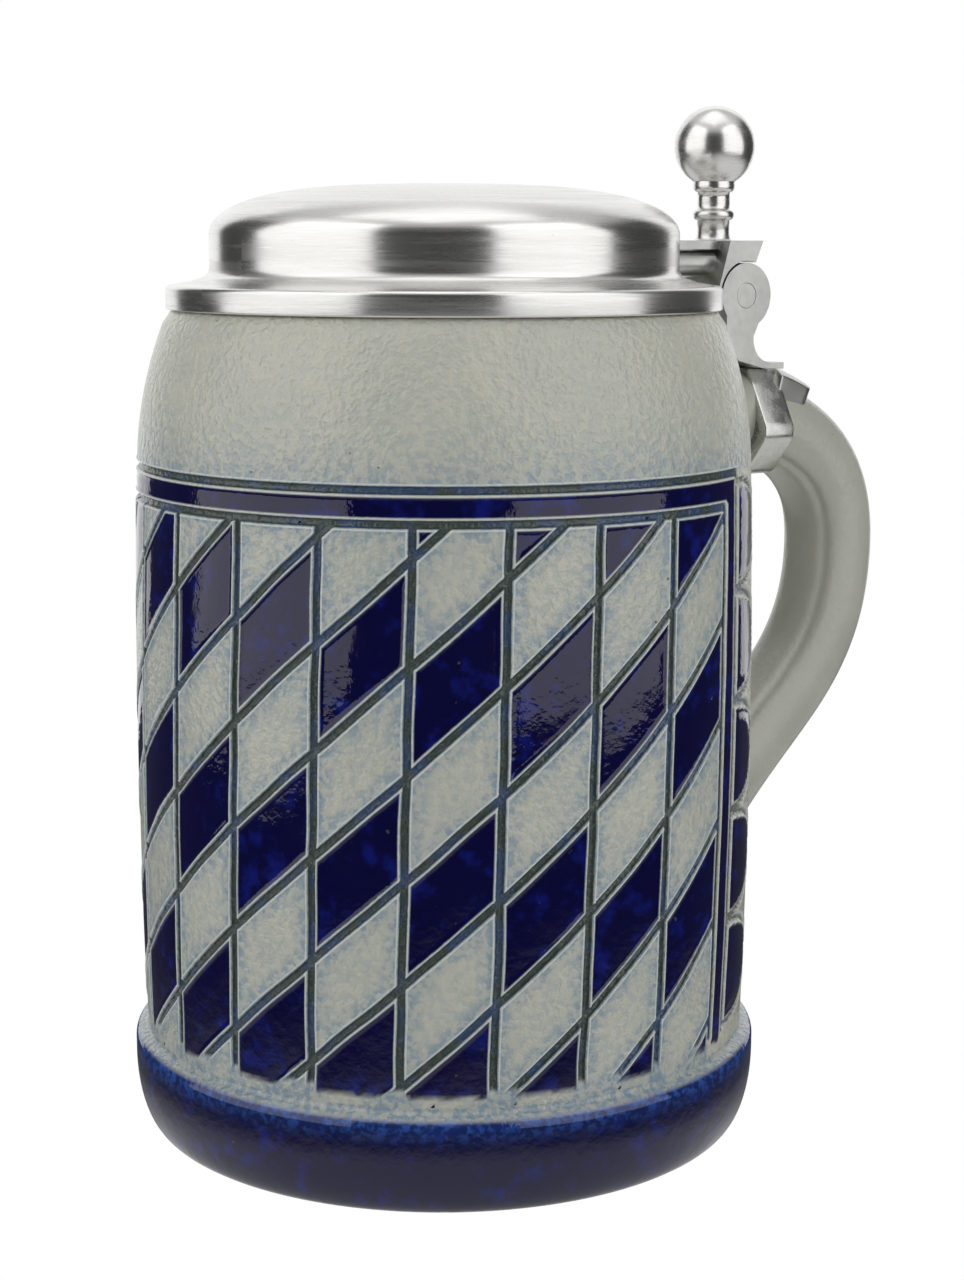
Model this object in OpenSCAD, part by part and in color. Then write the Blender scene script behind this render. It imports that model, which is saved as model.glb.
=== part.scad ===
// Half-litre salt-glazed stoneware stein with a domed pewter lid, a ball thumblift and a five-leaf hinge.
// Origin at the centre of the base, +Z up, handle along +X. All sizes in millimetres.

/* [Stoneware body] */
// Radius of the belly, the widest part of the plain wall
body_r = 47.5; // [40:0.5:60]
// Height of the rim that the lid rests on
body_h = 126.1; // [100:0.2:150]
// Thickness of the wall
wall = 5; // [3.5:0.1:7]
// Thickness of the floor
floor_t = 7; // [4:0.5:12]
// How far the shoulder draws in from the belly to the rim
shoulder_in = 5.7; // [3:0.1:8]
// Height of the shoulder below the rim
shoulder_h = 22.2; // [12:0.2:30]
// How much the belly narrows towards the shoulder
belly_drop = 0.7; // [0:0.1:2]
// Height at which the belly is widest
belly_z = 58.9; // [40:1:70]
// How far the plinth stands out from the belly
plinth_out = 1.3; // [0.8:0.1:3]
// Height of the plinth's crest
plinth_h = 15.3; // [10:0.1:20]
// How far the plinth rounds in to the foot
foot_in = 4; // [2:0.1:6]
// Distance from the rim down to the upper groove
upper_groove_drop = 22.9; // [16:0.1:30]
// Distance between the upper and the lower groove
groove_gap = 4.6; // [3:0.1:8]
// Radius of a groove's round bottom
groove_r = 0.75; // [0.4:0.05:1.2]

/* [Stoneware handle] */
// Thickness of the handle, from its back to its finger side
handle_t = 14; // [11:0.2:18]
// Width of the handle, from side to side
handle_w = 14.4; // [11:0.2:18]
// Distance from the belly to the middle of the handle at its widest reach
handle_reach = 34.3; // [28:0.5:42]
// Distance from the rim down to the middle of the handle's upper root
handle_drop = 16.2; // [14:0.5:24]
// Height of the middle of the handle's lower root, inside the wall
handle_foot_z = 25.7; // [16:1:34]
// How much thicker the handle gets at its roots
root_flare = 2.4; // [0:0.1:4]

/* [Lid] */
// How far the flange stands out past the rim's outside edge
flange_over = 0.3; // [0:0.1:2]
// Height of the flange's upright edge
flange_h = 3.6; // [2.5:0.1:6]
// Width of the flange, from its edge to the dome
flange_w = 6.6; // [4:0.1:10]
// Height of the dome's crown above the rim
dome_h = 18.6; // [12:0.1:26]
// Height of the dome's rounded top part
dome_round = 7.6; // [4:0.1:10]
// Thickness of the lid's metal
lid_t = 1.8; // [1.2:0.1:2.6]
// Depth of the locating lip below the rim
lip_h = 1.8; // [1:0.1:4]
// Gap between the locating lip and the rim's inside
lip_gap = 0.5; // [0.3:0.05:1]

/* [Hinge] */
// Radius of the hinge pin
pin_r = 2.05; // [1.5:0.05:2.4]
// Radial running clearance of the knuckles on the pin
pin_gap = 0.06; // [0.02:0.01:0.1]
// Distance from the flange's edge out to the pin
pin_out = 11.9; // [10.5:0.1:18]
// Height of the pin above the rim
pin_up = 1.5; // [1:0.1:5]
// Radius of the leaves' round heads
leaf_r = 5.25; // [4.4:0.05:6.5]
// Thickness of one leaf
leaf_t = 3.2; // [2.4:0.1:4]
// Side gap between two neighbouring leaves
leaf_gap = 0.25; // [0.15:0.05:0.4]
// Clearance between a moving face and the round heads it swings past
swing_gap = 0.35; // [0.3:0.05:0.6]
// Thickness of the metal above the round heads
block_t = 3.2; // [2.6:0.1:5]
// Width of the strap along the handle
strap_w = 6.6; // [5:0.1:11]
// Thickness of the strap
strap_t = 2.4; // [1.4:0.1:3.4]
// Thickness of the tongue on the handle's back
tongue_t = 1.1; // [0.8:0.1:2.6]
// Width of the tongue
tongue_w = 9; // [7:0.5:15]

/* [Thumblift] */
// Radius of the ball
ball_r = 6.55; // [5:0.05:9]
// Height of the stem between the hinge block and the ball's collar
stem_h = 9.5; // [7:0.1:16]
// Radius of the stem
stem_r = 2.65; // [2:0.05:3.5]
// Radius of the stem's two collars
collar_r = 3.4; // [2.8:0.05:4.2]
// Height of a collar
collar_h = 1.7; // [1.2:0.1:2.4]
// Radius of the spigots at both ends of the stem
spigot_r = 1.4; // [1:0.05:1.8]

/* [Hidden] */

ROUND_FN = 128;
STONE = [0.62, 0.63, 0.60];
COBALT = [0.06, 0.07, 0.28];
SATIN = [0.74, 0.74, 0.73];
BRIGHT = [0.80, 0.80, 0.79];

// Places worked out from the driving sizes
rim_r = body_r - shoulder_in;
shoulder_z = body_h - shoulder_h;
plinth_r = body_r + plinth_out;
foot_r = plinth_r - foot_in;
crest_r = 2;
upper_groove_z = body_h - upper_groove_drop;
lower_groove_z = upper_groove_z - groove_gap;
flange_r = rim_r + flange_over;
dome_r = flange_r - flange_w;
dome_spring_z = body_h + dome_h - dome_round;
lip_r = rim_r - wall - lip_gap;
pin_x = flange_r + pin_out;
pin_z = body_h + pin_up;
head_r = leaf_r + swing_gap;
block_z = pin_z + head_r + block_t;
half_hinge = 2.5 * leaf_t + 2 * leaf_gap;
knuckle_y = leaf_t + leaf_gap;
knuckle_r = leaf_r - 0.4;
collar_z = block_z + stem_h - collar_h;
ball_seat = sqrt(ball_r * ball_r - collar_r * collar_r);
ball_z = block_z + stem_h + ball_seat;
spigot_up = 5;
spigot_down = 2.2;

// ---- Curves -------------------------------------------------------------------------------------------------

// Points on an elliptical arc about (cx, cz)
function arc(cx, cz, rx, rz, from, to, n = 8) =
    [for (i = [0:n]) let (a = from + (to - from) * i / n) [cx + rx * cos(a), cz + rz * sin(a)]];

// Radius of the body's outside at height z: a barrel, with a shoulder that draws in faster
function belly_r(z) = body_r - belly_drop * pow((z - belly_z) / (shoulder_z - belly_z), 2);
function outer_r(z) = belly_r(z)
    - (z > shoulder_z ? (belly_r(body_h) - rim_r) * pow((z - shoulder_z) / shoulder_h, 2) : 0);

// A power that keeps its sign, for rounded-square sections
function signed_pow(v, p) = sign(v) * pow(abs(v), p);

function bezier(p, t) =
    pow(1 - t, 3) * p[0] + 3 * pow(1 - t, 2) * t * p[1] + 3 * (1 - t) * t * t * p[2] + pow(t, 3) * p[3];

// ---- Stoneware body -----------------------------------------------------------------------------------------

// Outside outline of the plinth and the wall, from the foot to the rim's outside edge
plinth_side_z = plinth_h - 2 * crest_r;
function outside(edge) = concat(
    arc(foot_r, plinth_side_z, foot_in, plinth_side_z, -90, 0, 12),
    arc(plinth_r - crest_r, plinth_h - crest_r, crest_r, crest_r, 0, 80, 6),
    [for (z = [plinth_h + 0.4 : 2.4 : body_h - 2 * edge]) [outer_r(z), z]],
    arc(rim_r - edge, body_h - edge, edge, edge, 20, 90, 5));

// The body without its hollow, for cutting what stands against it
module body_envelope() {
    rotate_extrude($fn = ROUND_FN)
        polygon(concat([[0, 0]], outside(0.3), [[0, body_h]]));
}

module stoneware_body() {
    edge = 1.2;
    hollow_fillet = 9;
    rim_fillet = 1;
    inner_r = rim_r - wall;
    inside = concat(
        [[inner_r + rim_fillet, body_h]],
        arc(inner_r + rim_fillet, body_h - rim_fillet, rim_fillet, rim_fillet, 90, 180, 4),
        [for (z = [body_h - 3 : -2.6 : floor_t + hollow_fillet]) [outer_r(z) - wall, z]],
        arc(outer_r(floor_t + hollow_fillet) - wall - hollow_fillet, floor_t + hollow_fillet,
            hollow_fillet, hollow_fillet, 0, -90, 8),
        [[0, floor_t]]);
    color(STONE)
        difference() {
            rotate_extrude($fn = ROUND_FN) polygon(concat([[0, 0]], outside(edge), inside));
            // The grooves run over the decorated side only, and stop short of the handle
            for (band = [[upper_groove_z, 118.8], [lower_groove_z, 113.3]])
                rotate([0, 0, 180 - band[1]]) rotate_extrude(angle = 2 * band[1], $fn = ROUND_FN)
                    translate([outer_r(band[0]), band[0]]) circle(r = groove_r, $fn = 24);
        }
}

// ---- Stoneware handle ---------------------------------------------------------------------------------------

// Middle line of the handle in the plane y = 0, as two curves that meet where it reaches furthest
handle_top_z = body_h - handle_drop;
reach_x = body_r + handle_reach;
reach_z = handle_foot_z + 0.705 * (handle_top_z - handle_foot_z);
handle_upper = [[body_r - 5, handle_top_z + 0.1], [body_r + 18.5, handle_top_z - 1.2],
                [reach_x, reach_z + 17.8], [reach_x, reach_z]];
handle_lower = [[reach_x, reach_z], [reach_x, reach_z - 28], [body_r + 10, handle_foot_z + 29.5],
                [body_r - 8.5, handle_foot_z]];

// s runs from 0 at the upper root to 1 at the lower root
function handle_mid(s) = s < 0.5 ? bezier(handle_upper, 2 * s) : bezier(handle_lower, 2 * s - 1);
function handle_way(s) =
    let (d = handle_mid(min(1, s + 0.002)) - handle_mid(max(0, s - 0.002))) d / norm(d);
function flare(s) = root_flare * (pow(max(0, 1 - s / 0.1), 2) + pow(max(0, (s - 0.72) / 0.28), 2));

// One closed section of the handle, grown outwards by grow
SECTION_SIDES = 28;
HANDLE_STATIONS = 46;
function handle_section(s, grow = 0) =
    let (m = handle_mid(s), d = handle_way(s), n = [-d[1], d[0]],
         a = handle_t / 2 + flare(s) + grow, b = handle_w / 2 + flare(s) + grow)
    [for (i = [0:SECTION_SIDES - 1])
        let (q = 360 * i / SECTION_SIDES,
             u = a * signed_pow(cos(q), 0.84), v = b * signed_pow(sin(q), 0.84))
        [m[0] + n[0] * u, v, m[1] + n[1] * u]];

module swept(sections) {
    sides = len(sections[0]);
    last = len(sections) - 1;
    points = [for (ring = sections) each ring];
    faces = concat(
        [[for (i = [sides - 1 : -1 : 0]) i]],
        [for (k = [0 : last - 1], i = [0 : sides - 1])
            let (j = (i + 1) % sides) [k * sides + i, k * sides + j, (k + 1) * sides + j, (k + 1) * sides + i]],
        [[for (i = [0 : sides - 1]) last * sides + i]]);
    polyhedron(points = points, faces = faces, convexity = 6);
}

module handle_sweep() {
    swept([for (k = [0:HANDLE_STATIONS]) handle_section(k / HANDLE_STATIONS)]);
}

module stoneware_handle() {
    color(STONE)
        difference() {
            handle_sweep();
            body_envelope();
        }
}

// ---- Lid ----------------------------------------------------------------------------------------------------

// Half outline of a dome of radius r whose rounded part is h high, from its side to its crown
function dome_curve(r, h, z, n = 18) =
    [for (i = [0:n]) let (a = 90 - 90 * i / n) [r * pow(sin(a), 0.625), z + h * pow(cos(a), 0.952)]];

flange_top_z = body_h + flange_h;
fillet_r = 1.8;
function lid_outside() = concat(
    [[0, body_h], [flange_r - 0.3, body_h], [flange_r, body_h + 0.3]],
    arc(flange_r - 0.7, flange_top_z - 0.7, 0.7, 0.7, 0, 80, 5),
    [[flange_r - flange_w * 0.55, flange_top_z + 0.45]],
    arc(dome_r + fillet_r, flange_top_z + 0.9 + fillet_r, fillet_r, fillet_r, -95, -180, 6),
    dome_curve(dome_r, dome_round, dome_spring_z));

module lid_envelope() {
    rotate_extrude($fn = ROUND_FN) polygon(lid_outside());
}

module lid_shell() {
    lip_t = 1.3;
    color(SATIN)
        difference() {
            union() {
                lid_envelope();
                translate([0, 0, body_h - lip_h]) cylinder(r1 = lip_r - 0.3, r2 = lip_r, h = lip_h, $fn = ROUND_FN);
            }
            rotate_extrude($fn = ROUND_FN)
                polygon(concat(
                    [[0, body_h - lip_h - 1], [lip_r - lip_t, body_h - lip_h - 1], [lip_r - lip_t, body_h],
                     [dome_r - lid_t, body_h + 2]],
                    dome_curve(dome_r - lid_t, dome_round - lid_t, dome_spring_z)));
        }
}

// ---- Hinge --------------------------------------------------------------------------------------------------

// Extrudes an outline drawn in the plane y = 0 (x across, z up) between two values of y
module side_slab(y0, y1) {
    translate([0, y1, 0]) rotate([90, 0, 0]) linear_extrude(y1 - y0) children();
}

module pin_hole(r) {
    translate([pin_x, 0, pin_z]) rotate([90, 0, 0]) cylinder(r = r, h = 4 * half_hinge, center = true, $fn = 64);
}

// The pin's reach as a cylinder between two values of y
module pin_drum(r, y0, y1) {
    side_slab(y0, y1) translate([pin_x, pin_z]) circle(r = r, $fn = 96);
}

module hinge_pin() {
    color(BRIGHT)
        translate([pin_x, 0, pin_z]) rotate([90, 0, 0])
            cylinder(r = pin_r, h = 2 * half_hinge, center = true, $fn = 64);
}

// The arm that is soldered to the dome and flange, with its block over the leaves and its two knuckles
module lid_tang() {
    arm_end_x = pin_x - 3;
    arm_low_z = block_z - 5.9;
    arm_x = dome_r - 3;
    arm_half = half_hinge - 4.4;
    plate_half = half_hinge - 2.3;
    plate_t = 1.4;
    roll_r = 2;
    color(SATIN)
        difference() {
            union() {
                // Arm, its side rolls and its top plate
                side_slab(-arm_half, arm_half)
                    polygon([[arm_x, arm_low_z], [arm_end_x, arm_low_z], [arm_end_x, block_z - 0.4],
                             [arm_x, block_z - 0.4]]);
                for (side = [-1, 1])
                    translate([arm_x, side * arm_half, arm_low_z + roll_r + 0.3])
                        rotate([0, 90, 0]) cylinder(r = roll_r, h = arm_end_x - arm_x, $fn = 48);
                translate([arm_x, -plate_half, block_z - plate_t])
                    cube([arm_end_x - arm_x, 2 * plate_half, plate_t]);
                // Foot that carries the arm on the flange
                translate([dome_r, -arm_half + 0.6, flange_top_z - 1])
                    cube([flange_w - 1.2, 2 * arm_half - 1.2, arm_low_z - flange_top_z + 1.5]);
                // Block over the round heads
                side_slab(-half_hinge, half_hinge)
                    polygon([[pin_x - 3.7, block_z], [pin_x + 3.4, block_z], [pin_x + 1.9, block_z - block_t - 0.2],
                             [pin_x - 4, pin_z], [pin_x - head_r - 0.3, pin_z + 1.6]]);
            }
            pin_drum(head_r, -2 * half_hinge, 2 * half_hinge);
            lid_envelope();
            translate([pin_x, 0, block_z - spigot_down]) cylinder(r = spigot_r, h = 10, $fn = 48);
        }
    // Knuckles, which swing between the leaves
    color(SATIN)
        for (side = [-1, 1])
            difference() {
                union() {
                    pin_drum(knuckle_r, side * knuckle_y - leaf_t / 2, side * knuckle_y + leaf_t / 2);
                    intersection() {
                        pin_drum(head_r + 0.2, side * knuckle_y - leaf_t / 2, side * knuckle_y + leaf_t / 2);
                        side_slab(-half_hinge, half_hinge)
                            polygon([[pin_x, pin_z], [pin_x + 1.8, block_z], [pin_x - 2 * leaf_r, block_z],
                                     [pin_x - 2 * leaf_r, pin_z + 1.8]]);
                    }
                }
                pin_hole(pin_r + pin_gap);
            }
}

// A point on the ridge of the handle's back, lifted off it
function handle_back(s, lift) =
    let (d = handle_way(s)) handle_mid(s) + (handle_t / 2 + lift) * [-d[1], d[0]];

// Where the tongue follows the handle's back, from under the strap on
TONGUE_S = [0.15, 0.165, 0.18, 0.195, 0.21, 0.225];
tongue_lift = 0.05;

// The strap's place on the handle: its middle lies below the pin, a little further out
strap_s = 0.147;
strap_mid = handle_mid(strap_s);
// Half the handle's height where the strap stands, cut straight down
strap_half = handle_t / 2 / handle_way(strap_s)[0];
strap_top_z = strap_mid[1] + strap_half + strap_t / 2;
// Half the width of the strap's flat top and bottom
strap_flat = handle_w / 2 - 2.6;

// An upright band with eight sides, thinner on top, where the foot of the hinge sits
module strap_band() {
    b = handle_w / 2 + strap_t;
    half = [[strap_half + strap_t / 2, strap_flat], [-handle_t * 0.09, b], [-handle_t * 0.24, b],
            [-strap_half - strap_t, strap_flat]];
    translate([strap_mid[0], 0, strap_mid[1]])
        rotate([0, 90, 0])
            linear_extrude(strap_w, center = true)
                polygon(concat([for (p = half) [-p[0], p[1]]],
                               [for (i = [len(half) - 1:-1:0]) [-half[i][0], -half[i][1]]]));
}

module handle_strap() {
    color(BRIGHT)
        difference() {
            strap_band();
            handle_sweep();
        }
}

// Upright with three leaves on the pin, a foot on the strap and a tongue down the handle's back
module hinge_shank() {
    neck_z = pin_z - 6.6;
    neck_in = pin_x - 4.2;
    neck_out = pin_x + 1.7;
    foot_z = strap_top_z + 0.7;
    foot_in = strap_mid[0] - strap_w / 2;
    foot_out = strap_mid[0] + strap_w / 2 + 0.4;
    flare_r = min(neck_z - foot_z, foot_out - neck_out) - 0.4;
    color(BRIGHT)
        difference() {
            union() {
                side_slab(-half_hinge, half_hinge)
                    polygon(concat(
                        [[pin_x - leaf_r * 0.8, pin_z - 1.2], [neck_in, neck_z - 0.6],
                         [pin_x - 1.5, foot_z + 0.5], [foot_in, strap_top_z - 0.1],
                         [foot_out, strap_top_z - 0.5], [foot_out, foot_z]],
                        arc(neck_out + flare_r, foot_z + flare_r, flare_r, flare_r, -90, -180, 8),
                        [[neck_out, neck_z], [pin_x + leaf_r * 0.7, pin_z - leaf_r * 0.5]]));
                pin_drum(leaf_r, -half_hinge, half_hinge);
                // Tongue on the handle's back
                side_slab(-tongue_w / 2, tongue_w / 2)
                    polygon(concat(
                        [for (s = TONGUE_S) handle_back(s, tongue_lift)],
                        [handle_back(TONGUE_S[len(TONGUE_S) - 1], tongue_t), [foot_out, foot_z],
                         [foot_out - 3, foot_z]]));
            }
            for (side = [-1, 1])
                pin_drum(leaf_r + swing_gap, side * knuckle_y - leaf_t / 2 - leaf_gap,
                         side * knuckle_y + leaf_t / 2 + leaf_gap);
            pin_hole(pin_r);
            strap_band();
        }
}

// ---- Thumblift ----------------------------------------------------------------------------------------------

module thumblift_stem() {
    foot_flare = 0.6;
    low_collar_z = block_z + 3.3;
    color(BRIGHT)
        difference() {
            rotate_at_pin() polygon(concat(
                [[0, block_z - spigot_down], [spigot_r, block_z - spigot_down], [spigot_r, block_z],
                 [stem_r + foot_flare, block_z]],
                arc(stem_r + foot_flare, block_z + 1.2, foot_flare, 1.2, -90, -180, 5),
                arc(stem_r, low_collar_z + collar_h / 2, collar_r - stem_r, collar_h / 2, -90, 90, 6),
                [[stem_r, collar_z]],
                arc(stem_r, collar_z + collar_h / 2, collar_r - stem_r, collar_h / 2, -90, 0, 4),
                [[collar_r, block_z + stem_h], [spigot_r, ball_z], [0, ball_z]]));
            difference() {
                translate([pin_x, 0, ball_z]) sphere(r = ball_r, $fn = 96);
                translate([pin_x, 0, block_z]) cylinder(r = spigot_r, h = ball_z, $fn = 48);
            }
            translate([pin_x, 0, ball_z - ball_r + spigot_up]) cylinder(r = 2 * spigot_r, h = ball_r, $fn = 48);
        }
}

module rotate_at_pin() {
    translate([pin_x, 0, 0]) rotate_extrude($fn = 64) children();
}

module thumblift_ball() {
    color(BRIGHT)
        difference() {
            translate([pin_x, 0, ball_z]) sphere(r = ball_r, $fn = 96);
            translate([pin_x, 0, ball_z - 2 * ball_r + spigot_up]) cylinder(r = spigot_r, h = ball_r, $fn = 48);
        }
}

stoneware_body();
stoneware_handle();
lid_shell();
lid_tang();
thumblift_stem();
thumblift_ball();
hinge_pin();
hinge_shank();
handle_strap();
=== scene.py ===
"""Looks of a half-litre salt-glazed stoneware stein with a domed pewter lid.

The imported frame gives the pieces, their places and the lid's hinge. This script makes the fine meshes that
stand for the stoneware and the turned metal, rounds the edges of the cast metal, and gives every piece its
finish.
Lengths are metres, +Z is up and the handle points along +X.
"""

import logging
import math
from collections.abc import Callable
from dataclasses import dataclass, field
from enum import Enum
from typing import Any

import bmesh
import bpy
from mathutils import Matrix, Vector, noise

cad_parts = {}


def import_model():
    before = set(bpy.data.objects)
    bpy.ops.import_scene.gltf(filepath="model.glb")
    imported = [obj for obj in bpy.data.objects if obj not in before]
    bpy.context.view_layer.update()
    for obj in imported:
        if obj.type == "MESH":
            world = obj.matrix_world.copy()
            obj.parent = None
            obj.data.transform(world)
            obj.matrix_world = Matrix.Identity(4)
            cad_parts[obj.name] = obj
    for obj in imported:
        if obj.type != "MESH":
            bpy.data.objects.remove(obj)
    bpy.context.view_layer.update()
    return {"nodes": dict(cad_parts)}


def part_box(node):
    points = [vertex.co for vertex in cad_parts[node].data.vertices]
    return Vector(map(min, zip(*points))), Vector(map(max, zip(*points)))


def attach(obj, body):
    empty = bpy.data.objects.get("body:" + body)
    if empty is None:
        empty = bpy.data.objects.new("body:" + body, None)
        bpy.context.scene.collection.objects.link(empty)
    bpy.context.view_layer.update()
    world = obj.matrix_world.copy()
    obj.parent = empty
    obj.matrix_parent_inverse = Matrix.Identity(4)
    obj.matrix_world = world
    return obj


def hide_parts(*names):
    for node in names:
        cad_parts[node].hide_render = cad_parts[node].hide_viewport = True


LOG = logging.getLogger("stein")
MM = 0.001
TINY = 1e-7
Point = tuple[float, float]
Place = tuple[float, float, float]
Colour = tuple[float, float, float, float]
Feed = Any  # a node socket, or a constant for one
BLANK: Colour = (0, 0, 0, 0)


def smooth(value: float, low: float, high: float) -> float:
    """Return a soft step from 0 at low to 1 at high."""
    t = min(1.0, max(0.0, (value - low) / (high - low)))
    return t * t * (3 - 2 * t)


def arc(centre: Point, radii: Point, start: float, end: float, count: int) -> list[Point]:
    """Return points on an elliptical arc.

    Args:
        centre: Centre of the arc as (radius, height).
        radii: Half widths of the ellipse.
        start: First angle in degrees.
        end: Last angle in degrees.
        count: Number of steps.

    Returns:
        The points, first to last.
    """
    angles = [math.radians(start + (end - start) * i / count) for i in range(count + 1)]
    return [(centre[0] + radii[0] * math.cos(a), centre[1] + radii[1] * math.sin(a)) for a in angles]


# ---- Node trees ---------------------------------------------------------------------------------------------


class Tree:
    """A thin helper that adds nodes to a shader or geometry tree and links them."""

    def __init__(self, tree: bpy.types.NodeTree) -> None:
        """Start on an empty tree."""
        self.tree = tree
        tree.nodes.clear()

    def node(self, kind: str, **settings: Any) -> bpy.types.Node:
        """Add a node of that type and set its properties."""
        made = self.tree.nodes.new(kind)
        for name, value in settings.items():
            setattr(made, name, value)
        return made

    def plug(self, socket: bpy.types.NodeSocket, value: Feed) -> None:
        """Link value to socket if it is a socket, and set it as the default otherwise."""
        if isinstance(value, bpy.types.NodeSocket):
            self.tree.links.new(value, socket)
        else:
            socket.default_value = value

    def math(self, operation: str, *values: Feed, clamp: bool = False) -> bpy.types.NodeSocket:
        """Add a Math node and return its result."""
        made = self.node("ShaderNodeMath", operation=operation, use_clamp=clamp)
        for socket, value in zip(made.inputs, values):
            self.plug(socket, value)
        return made.outputs[0]

    def scaled(self, vector: Feed, factors: Place) -> bpy.types.NodeSocket:
        """Multiply a vector by three factors."""
        made = self.node("ShaderNodeVectorMath", operation="MULTIPLY")
        self.plug(made.inputs[0], vector)
        self.plug(made.inputs[1], factors)
        return made.outputs[0]

    def ramp(self, value: Feed, low: Feed, high: Feed, start: float = 0.0, end: float = 1.0,
             ) -> bpy.types.NodeSocket:
        """Map a value smoothly from one range to another, clamped.

        Args:
            value: The value.
            low: Where the range of the value begins.
            high: Where it ends.
            start: Result at low.
            end: Result at high.

        Returns:
            The result.
        """
        made = self.node("ShaderNodeMapRange", interpolation_type="SMOOTHSTEP")
        for name, item in (("Value", value), ("From Min", low), ("From Max", high), ("To Min", start),
                           ("To Max", end)):
            self.plug(made.inputs[name], item)
        return made.outputs["Result"]

    def mix(self, factor: Feed, first: Feed, second: Feed) -> bpy.types.NodeSocket:
        """Mix two colours."""
        made = self.node("ShaderNodeMix", data_type="RGBA")
        self.plug(made.inputs[0], factor)
        self.plug(made.inputs[6], first)
        self.plug(made.inputs[7], second)
        return made.outputs[2]

    def noise(self, vector: Feed, scale: Feed, detail: float = 2.0, rough: float = 0.5,
              ) -> bpy.types.NodeSocket:
        """Add a Noise Texture.

        Args:
            vector: Where it is read.
            scale: How fine it is.
            detail: Its octaves.
            rough: Strength of each further octave.

        Returns:
            Its value.
        """
        made = self.node("ShaderNodeTexNoise")
        self.plug(made.inputs["Vector"], vector)
        self.plug(made.inputs["Scale"], scale)
        made.inputs["Detail"].default_value = detail
        made.inputs["Roughness"].default_value = rough
        return made.outputs["Fac"]

    def group(self, tree: bpy.types.NodeTree, **values: Feed) -> bpy.types.Node:
        """Place a shader group and feed its inputs by name, with _ for a space."""
        made = self.node("ShaderNodeGroup", node_tree=tree)
        for name, value in values.items():
            self.plug(made.inputs[name.replace("_", " ")], value)
        return made


class Socket(Enum):
    """Socket types of a group's interface."""

    VALUE = "NodeSocketFloat"
    VECTOR = "NodeSocketVector"
    GEOMETRY = "NodeSocketGeometry"
    MATERIAL = "NodeSocketMaterial"


def new_group(name: str, kind: str, inputs: dict[str, Socket], outputs: dict[str, Socket]) -> Tree:
    """Make an empty node group with named inputs and outputs.

    Args:
        name: Name of the group.
        kind: ShaderNodeTree or GeometryNodeTree.
        inputs: Input names and types.
        outputs: Output names and types.

    Returns:
        A helper on the new tree.
    """
    tree = bpy.data.node_groups.new(name, kind)
    for direction, sockets in (("INPUT", inputs), ("OUTPUT", outputs)):
        for label, socket in sockets.items():
            tree.interface.new_socket(label, in_out=direction, socket_type=socket.value)
    return Tree(tree)


# ---- Turned and wrapped shapes ------------------------------------------------------------------------------


@dataclass(frozen=True)
class Barrel:
    """The rule of the stein's wall: a barrel whose shoulder draws in faster."""

    belly_radius: float = 47.5 * MM
    belly_drop: float = 0.7 * MM
    belly_height: float = 58.9 * MM
    shoulder_height: float = 103.9 * MM
    rim_height: float = 126.1 * MM
    rim_radius: float = 41.8 * MM
    lean: float = 0.53
    lean_height: float = 65.7 * MM
    start_angle: float = math.pi
    centre_x: float = 0.0

    def belly(self, z: float) -> float:
        """Return the barrel's radius at height z, without the shoulder."""
        reach = self.shoulder_height - self.belly_height
        return self.belly_radius - self.belly_drop * ((z - self.belly_height) / reach) ** 2

    @property
    def shoulder_drop(self) -> float:
        """Return how far the shoulder draws in at the rim."""
        return self.belly(self.rim_height) - self.rim_radius

    def radius(self, z: float) -> float:
        """Return the wall's outside radius at height z."""
        if z <= self.shoulder_height:
            return self.belly(z)
        share = (z - self.shoulder_height) / (self.rim_height - self.shoulder_height)
        return self.belly(z) - self.shoulder_drop * share * share


@dataclass(frozen=True)
class Spindle:
    """The rule of a lathe: the sheet's second coordinate is the radius itself."""

    centre_x: float = 0.0
    belly_radius: float = 0.0
    belly_drop: float = 0.0
    belly_height: float = 0.0
    shoulder_height: float = 1.0
    rim_height: float = 2.0
    shoulder_drop: float = 0.0
    lean: float = 0.0
    lean_height: float = 0.0
    start_angle: float = 0.0

    def radius(self, _: float) -> float:
        """Return the radius that offsets are counted from."""
        return 0.0


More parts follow.
